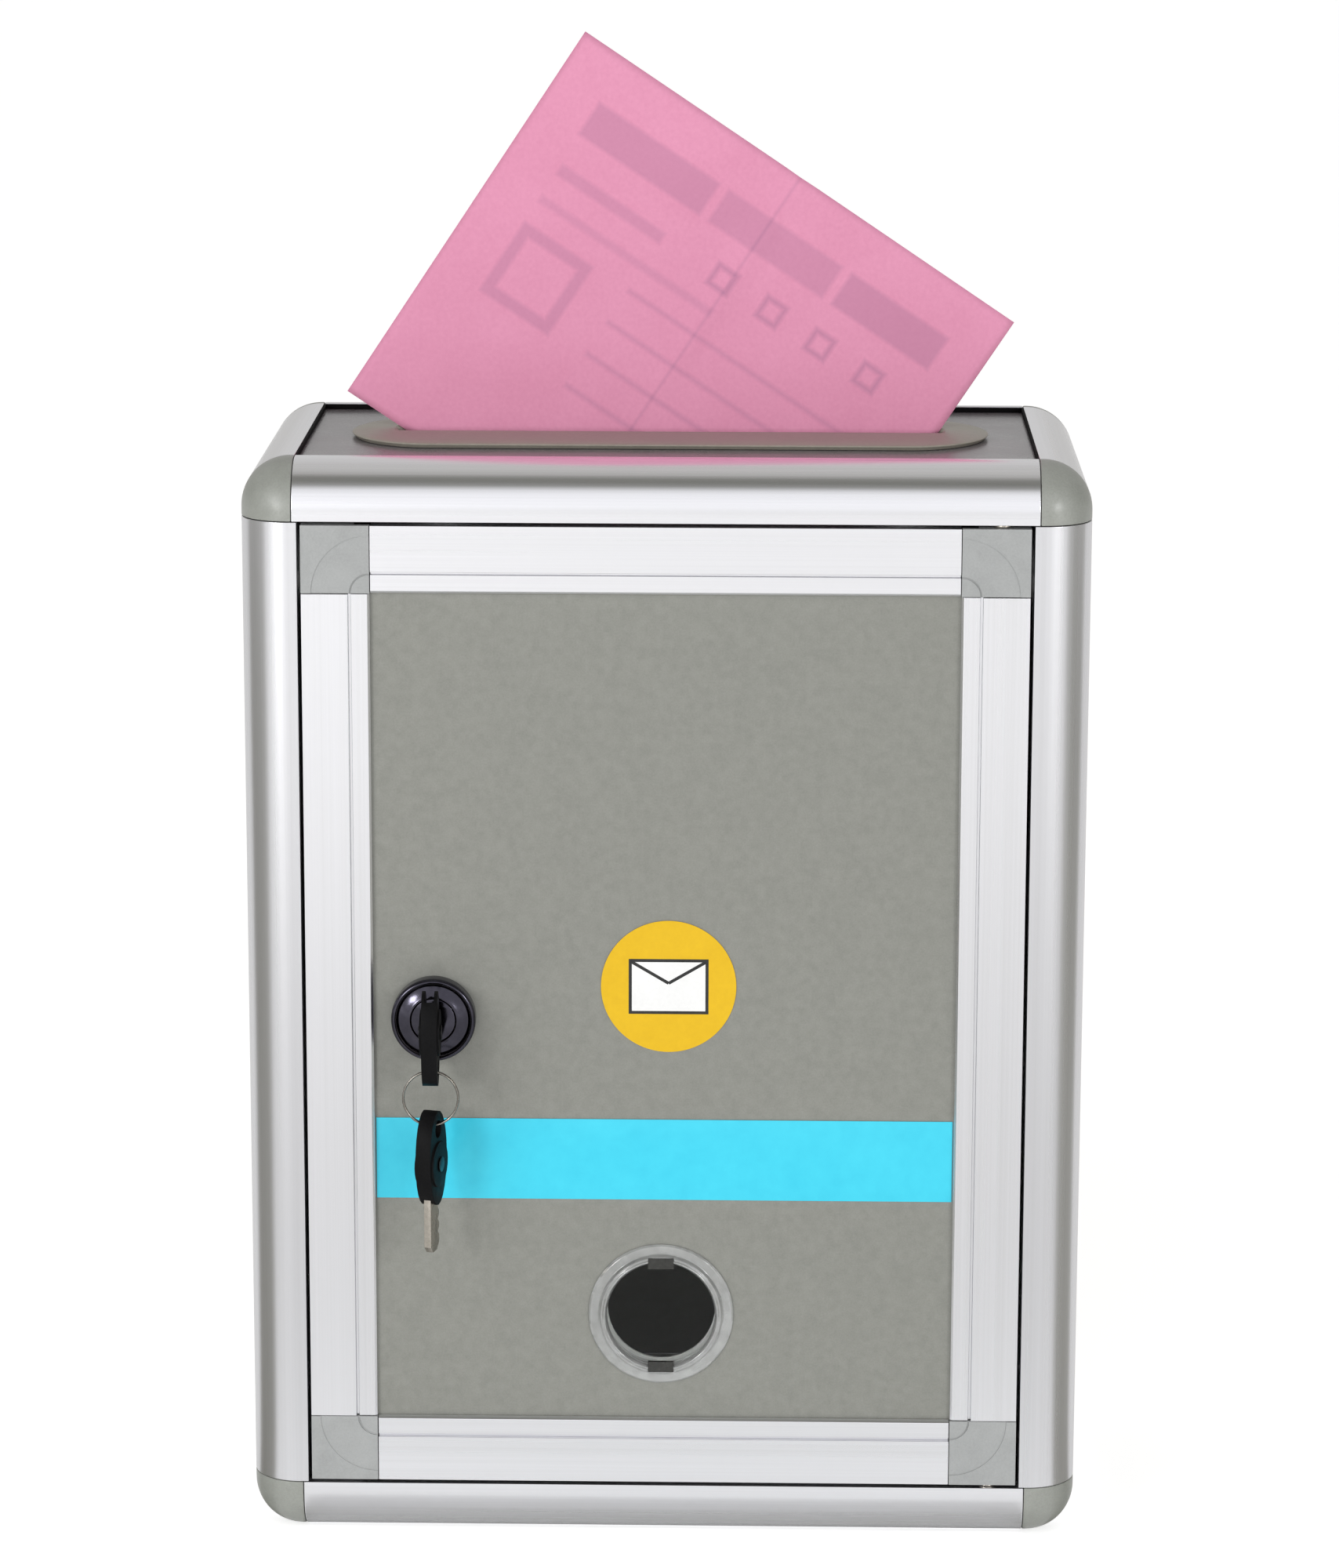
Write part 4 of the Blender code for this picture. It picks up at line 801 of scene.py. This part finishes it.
sheet_place = add_node(
    tree,
    "VectorMath",
    {0: add_node(tree, "TexCoord").outputs["UV"], 1: (SLIP_LENGTH, SLIP_WIDTH, 0)},
    operation="MULTIPLY",
).outputs[0]


def block_mask(across, up, half_length, half_height):
    """Where one block lies on the sheet, printed or the fold's painted shade."""
    sockets = {
        "Position": sheet_place,
        "Across": across,
        "Up": up,
        "Half Length": half_length,
        "Half Height": half_height,
    }
    return add_node(tree, "Group", sockets, node_tree=printed).outputs["Mask"]


# Each block has its middle along and up the sheet, its half length and half height, and its weight.
print_and_crease_blocks = [
    (0.030, 0.105, 0.017, 0.0055, 0.55),
    (0.070, 0.105, 0.020, 0.0055, 0.45),
    (0.114, 0.105, 0.021, 0.0055, 0.5),
]
print_and_crease_blocks += [(0.026 + 0.017 * i, 0.088, 0.0038, 0.0038, 0.6) for i in range(4)]
print_and_crease_blocks += [(0.026 + 0.017 * i, 0.088, 0.0022, 0.0022, -0.6) for i in range(4)]
print_and_crease_blocks += [(0.116, 0.088, 0.018, 0.0018, 0.4), (0.104, 0.078, 0.030, 0.0012, 0.3)]
print_and_crease_blocks += [(0.058, 0.070 - 0.011 * i, 0.040, 0.0007, 0.4) for i in range(4)]
print_and_crease_blocks += [(0.122, 0.058, 0.012, 0.012, 0.45), (0.122, 0.058, 0.0085, 0.0085, -0.45)]
# The fold's line: a thin mauve stripe down the middle, painted shade along the crease.
print_and_crease_blocks += [(SLIP_LENGTH / 2, SLIP_WIDTH / 2, 0.0002, SLIP_WIDTH, 0.5)]
# The sum covers the print and the fold's painted shade.
ink = 0.0
for across, up, half_length, half_height, weight in print_and_crease_blocks:
    mask = calc(tree, "MULTIPLY", block_mask(across, up, half_length, half_height), weight)
    ink = calc(tree, "ADD", ink, mask)
shader = tree.nodes["Principled BSDF"]
paper_colour = shader.inputs["Base Color"].links[0].from_socket
strength = calc(tree, "MULTIPLY", calc(tree, "MAXIMUM", ink, 0.0), PRINT_AND_CREASE_STRENGTH)
tree.links.new(mix(tree, strength, paper_colour, PRINT_AND_CREASE_MAUVE), shader.inputs["Base Color"])

shape = bmesh.new()
shape.loops.layers.uv.new("UVMap")
bmesh.ops.create_grid(shape, x_segments=SLIP_STEPS[0], y_segments=SLIP_STEPS[1], size=0.5, calc_uvs=True)
bmesh.ops.translate(shape, vec=(0.5, 0.5, 0), verts=shape.verts)
bmesh.ops.scale(shape, vec=(SLIP_LENGTH, SLIP_WIDTH, 1), verts=shape.verts)
slip_along = Vector((-cos(SLIP_TILT), 0, sin(SLIP_TILT)))
slip_up = Vector((sin(SLIP_TILT), 0, cos(SLIP_TILT)))
for vert in shape.verts:
    along, up = vert.co.x, vert.co.y
    vert.co = SLIP_FOOT + slip_along * along + slip_up * up
    rise = max(0.0, (vert.co.z - SLOT_TOP) / (cad_high.z - SLOT_TOP))
    free = min(1.0, rise / SLIP_HELD_SHARE)
    bow = SLIP_BOW * sin(pi * along / SLIP_LENGTH)
    crease = SLIP_CREASE * max(0.0, 1 - abs(along - SLIP_LENGTH / 2) / SLIP_CREASE_REACH)
    vert.co.y += SLIP_LEAN * rise**2 + (bow - crease) * free
bmesh.ops.recalc_face_normals(shape, faces=shape.faces)
slip = put("slip_sheet", shape, [paper], "slip", ["suggestion_slip"])
solid = slip.modifiers.new("sheet", "SOLIDIFY")
solid.thickness = SLIP_THICKNESS
solid.offset = 0

# Blue band: a cyan vinyl strip across the door panel, left bare. It was rolled on by hand and
# has a slight orange-peel gloss.
BLUE_DARK = (0.038, 0.57, 0.76)
BLUE_LIGHT = (0.052, 0.64, 0.82)
FILM_EDGE = 0.00006
blue_vinyl = finish("blue_vinyl", BLUE_DARK, BLUE_LIGHT, (0.004,) * 3, (0.30, 0.38), 0.000006, 0.2, IOR=1.46)
put("blue_band_film", merged("blue_band"), [blue_vinyl], "door", ["blue_band"], FILM_EDGE)

# Round label: a yellow vinyl disc, printed in white and black with a plain envelope, the sign
# of a letter box.
YELLOW = ((0.70, 0.42, 0.002), (0.77, 0.48, 0.004))
INK_WHITE = ((0.80, 0.80, 0.79), (0.86, 0.86, 0.85))
INK_BLACK = ((0.012, 0.012, 0.012), (0.03, 0.03, 0.03))
INK_THICKNESS = 0.00003
ENVELOPE = Vector((0.0105, 0, 0.0072))
OUTLINE = 0.0009
FLAP_DROP = 0.0062
yellow_vinyl = finish("yellow_vinyl", *YELLOW, (0.002,) * 3, (0.32, 0.40), 0.000005, IOR=1.46)
white_ink, black_ink = (
    finish(name, *inks, (0.001,) * 3, (0.35, 0.45), 0.000003, IOR=1.46)
    for name, inks in (("white_ink", INK_WHITE), ("black_ink", INK_BLACK))
)
low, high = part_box("round_label")
label_middle = (low + high) / 2
label_middle.y = high.y
label_radius = (high.x - low.x) / 2
shape = disc(label_radius, label_middle, -Y, 0, high.y - low.y)
put("round_label_film", shape, [yellow_vinyl], "door", ["round_label"], FILM_EDGE)
ink_back = Vector((label_middle.x, low.y, label_middle.z))


def ink_bar(start, end, width, layer):
    """A straight printed stroke with square ends, on the label's own plane."""
    start, end = Vector(start), Vector(end)
    way = (end - start).normalized()
    half = (end - start).length / 2
    shape = block((-half, -INK_THICKNESS * layer, -width / 2), (half, 0, width / 2))
    place = Matrix.Translation((start + end) / 2) @ X.rotation_difference(way).to_matrix().to_4x4()
    bmesh.ops.transform(shape, matrix=place, verts=shape.verts)
    return shape


outer = Vector((ENVELOPE.x + OUTLINE, 0, ENVELOPE.z + OUTLINE))
back_plate = block(ink_back - outer - Y * INK_THICKNESS, ink_back + outer)
put("label_outline", back_plate, [black_ink], "door", [])
face_plate = block(ink_back - ENVELOPE - Y * INK_THICKNESS * 2, ink_back + ENVELOPE)
put("label_envelope", face_plate, [white_ink], "door", [])
peak = ink_back - Z * (FLAP_DROP - ENVELOPE.z)
flap = combined(
    ink_bar(ink_back + Vector((-ENVELOPE.x, 0, ENVELOPE.z)), peak, OUTLINE, 3),
    "UNION",
    ink_bar(peak, ink_back + Vector((ENVELOPE.x, 0, ENVELOPE.z)), OUTLINE, 3),
)
put("label_flap", flap, [black_ink], "door", [])

# Window: a milky clear styrene bezel pushed through the panel from the front, with a clear pane
# behind its lip, and a grey ring snapped over the tube at the back, whose pale grey is a painted
# glint seen through the tube. Two near-black blocks in the bezel's top and bottom snap notches are
# painted shade.
CLEAR_TINT = (0.96, 0.975, 0.965)
window_middle = (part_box("window_bezel")[0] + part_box("window_bezel")[1]) / 2
window_middle.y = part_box("door_panel")[0].y
BEZEL_PROFILE = [
    (0.0156, 0.0012),
    (0.0162, 0.0021),
    (0.0165, 0.0022),
    (0.0170, 0.0018),
    (0.0174, 0.0018),
    (0.0180, 0.0011),
    (0.0182, 0.0009),
    (0.0204, 0.0009),
    (0.0210, 0.0004),
    (0.0210, 0.0001),
    (0.0175, 0.0001),
    (0.0175, -0.0060),
    (0.0165, -0.0060),
    (0.0165, -0.0001),
    (0.0156, -0.0001),
]
NOTCH_SIZE = Vector((0.0075, 0.0012, 0.0032))
NOTCH_RADIUS = 0.0156
NOTCH_FRONT = 0.0022
NOTCH_EDGE = 0.0002
THIN_EDGE = 0.0001
MILKY = (0.50, 0.51, 0.49)
RETAINER_GLINT_LIGHT = (0.60, 0.61, 0.59)
NOTCH_SHADE_DARK = (0.018, 0.018, 0.016)
NOTCH_SHADE_LIGHT = (0.04, 0.04, 0.036)
CLEAR_SPACING = (0.003,) * 3
milky_styrene = finish(
    "milky_styrene",
    MILKY,
    CLEAR_TINT,
    CLEAR_SPACING,
    (0.06, 0.10),
    0.000001,
    IOR=1.7,
    Transmission_Weight=0.7,
    Coat_Weight=1.0,
    Coat_Roughness=0.03,
    Coat_IOR=1.8,
)
clear_pane = finish(
    "clear_pane", CLEAR_TINT, WHITE, CLEAR_SPACING, (0.02, 0.04), 0.0000003, IOR=1.22, Transmission_Weight=1.0
)
# The back ring's pale grey is a painted glint, seen through the tube.
glint_pale_grey = finish("glint_pale_grey", MILKY, RETAINER_GLINT_LIGHT, (0.001,) * 3, (0.3, 0.4), 0.000004, IOR=1.5)
notch_shade_finish = finish("notch_painted_shade", NOTCH_SHADE_DARK, NOTCH_SHADE_LIGHT, (0.001,) * 3, (0.2, 0.3), IOR=1.5)
bezel = turned(BEZEL_PROFILE, window_middle, -Y, 128)
put("window_bezel_ring", bezel, [milky_styrene], "door", ["window_bezel"], THIN_EDGE)
# The near-black blocks in the two notches: painted shade.
for i, way in enumerate((Z, -Z)):
    middle = window_middle + way * NOTCH_RADIUS - Y * (NOTCH_FRONT - NOTCH_SIZE.y / 2)
    tab = block(middle - NOTCH_SIZE / 2, middle + NOTCH_SIZE / 2)
    put(f"window_tab_{i}", tab, [notch_shade_finish], "door", [], NOTCH_EDGE)
put("window_pane_clear", merged("window_pane"), [clear_pane], "door", ["window_pane"])
# The back ring, pale grey as a painted glint.
retainer = merged("window_retainer")
put("window_ring_back", retainer, [glint_pale_grey], "door", ["window_retainer"], THIN_EDGE)

# Cam lock: a die-cast body with a domed dark chrome face, held by a hex nut. The steel plug
# turns in it, and the cam is screwed to the plug's squared end.
LOCK_PROFILE = [
    (0.0066, 0.00490),
    (0.0070, 0.00488),
    (0.0074, 0.00474),
    (0.0098, 0.00362),
    (0.0100, 0.00362),
    (0.0104, 0.00440),
    (0.0108, 0.00485),
    (0.0112, 0.00500),
    (0.0116, 0.00485),
    (0.0120, 0.00430),
    (0.0121, 0.00380),
    (0.0121, 0.00010),
    (0.0090, 0.00010),
    (0.0090, -0.01270),
    (0.0066, -0.01270),
]
CHROME_DARK = (0.05, 0.048, 0.062)
CHROME_LIGHT = (0.075, 0.072, 0.092)
STEEL_DARK = (0.40, 0.37, 0.32)
STEEL_LIGHT = (0.56, 0.52, 0.46)
STEEL_EDGE = 0.0002
PLUG_EDGE = 0.00015
NUT_EDGE = 0.0003
dark_chrome = finish(
    "dark_chrome", CHROME_DARK, CHROME_LIGHT, (0.002,) * 3, (0.13, 0.17), 0.000002, 0.2, Metallic=1.0
)
plated_steel = finish(
    "plated_steel", STEEL_DARK, STEEL_LIGHT, (0.0008,) * 3, (0.20, 0.34), 0.000006, 0.15, Metallic=1.0
)
low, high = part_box("lock_plug")
lock_middle = Vector(((low.x + high.x) / 2, window_middle.y, (low.z + high.z) / 2))
lock_body = turned(LOCK_PROFILE, lock_middle, -Y)
put("lock_body_chrome", lock_body, [dark_chrome], "door", ["lock_body"], THIN_EDGE, angle=50)
put("lock_nut_hex", merged("lock_nut"), [plated_steel], "door", ["lock_nut"], NUT_EDGE)
put("lock_plug_face", merged("lock_plug"), [dark_chrome], "plug", ["lock_plug"], PLUG_EDGE)
put("lock_cam_plate", merged("lock_cam"), [plated_steel], "plug", ["lock_cam"], STEEL_EDGE)
put("cam_screw_head", merged("cam_screw"), [plated_steel], "plug", ["cam_screw"], STEEL_EDGE)

# Keys: stamped steel blades, each riveted between the cheeks of a black nylon head that folds
# on it. One is in the lock and the spare hangs from it.
HEAD_EDGE = 0.0007
NYLON_DARK = (0.002, 0.002, 0.0022)
NYLON_LIGHT = (0.006, 0.006, 0.0065)
RIVET = ((0.02, 0.02, 0.022), (0.05, 0.05, 0.052))
black_nylon = finish(
    "black_nylon", NYLON_DARK, NYLON_LIGHT, (0.0006,) * 3, (0.50, 0.62), 0.00001, 0.1, Specular_IOR_Level=0.10
)
black_steel = finish("black_steel", *RIVET, (0.0006,) * 3, (0.3, 0.4), 0.000004, Metallic=1.0)
for prefix, head_body, blade_body in (("", "head", "key"), ("spare_", "spare_key", "spare_key")):
    node = prefix + "key_head"
    put(node + "_cheeks", merged(node), [black_nylon], head_body, [node], HEAD_EDGE, 3)
    node = prefix + "key_blade"
    put(node + "_cut", merged(node), [plated_steel], blade_body, [node], STEEL_EDGE)
    node = prefix + "key_rivet"
    put(node + "_pin", merged(node), [black_steel], blade_body, [node], THIN_EDGE)

# Key ring: two close turns of hard spring wire, nickel plated and a little dulled, passed
# through the holes of both heads.
WIRE_RADIUS = 0.00034
WIRE_STEPS = 12
COIL_STEPS = 96
COIL_SPACING = 0.00052
RING_MARGIN = 0.0006
WIRE_DARK = (0.17, 0.16, 0.14)
WIRE_LIGHT = (0.32, 0.30, 0.27)
wire_steel = finish(
    "wire_steel", WIRE_DARK, WIRE_LIGHT, (0.0008,) * 3, (0.22, 0.32), 0.000004, 0.15, Metallic=1.0
)
low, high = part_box("key_ring")
ring_middle = (low + high) / 2
ring_radius = (high.z - low.z) / 2 - RING_MARGIN
shape = bmesh.new()
bmesh.ops.create_circle(shape, cap_ends=True, segments=WIRE_STEPS, radius=WIRE_RADIUS)
bmesh.ops.rotate(shape, cent=(0, 0, 0), matrix=Matrix.Rotation(pi / 2, 3, "X"), verts=shape.verts)
bmesh.ops.translate(shape, vec=(ring_radius, 0, -COIL_SPACING), verts=shape.verts)
bmesh.ops.spin(
    shape,
    geom=shape.verts[:] + shape.edges[:] + shape.faces[:],
    axis=Z,
    cent=(0, 0, 0),
    dvec=(0, 0, COIL_SPACING / COIL_STEPS),
    angle=4 * pi,
    steps=2 * COIL_STEPS,
    use_merge=False,
)
place = Matrix.Translation(ring_middle) @ Z.rotation_difference(Y).to_matrix().to_4x4()
bmesh.ops.transform(shape, matrix=place, verts=shape.verts)
bmesh.ops.recalc_face_normals(shape, faces=shape.faces)
put("key_ring_wire", shape, [wire_steel], "ring", ["key_ring"])

# Hinge and stops: steel pins in the door's right-hand corners with a spacer washer at each
# end, and two black blocks behind the door's free edge.
STOP_EDGE = 0.0005
for level in ("top", "bottom"):
    for kind, edge in (("hinge_pin_", STEEL_EDGE), ("hinge_washer_", THIN_EDGE)):
        node = kind + level
        put(node + "_steel", merged(node), [plated_steel], "door", [node], edge)
    node = "door_stop_" + level
    put(node + "_block", merged(node), [black_nylon], "case", [node], STOP_EDGE)
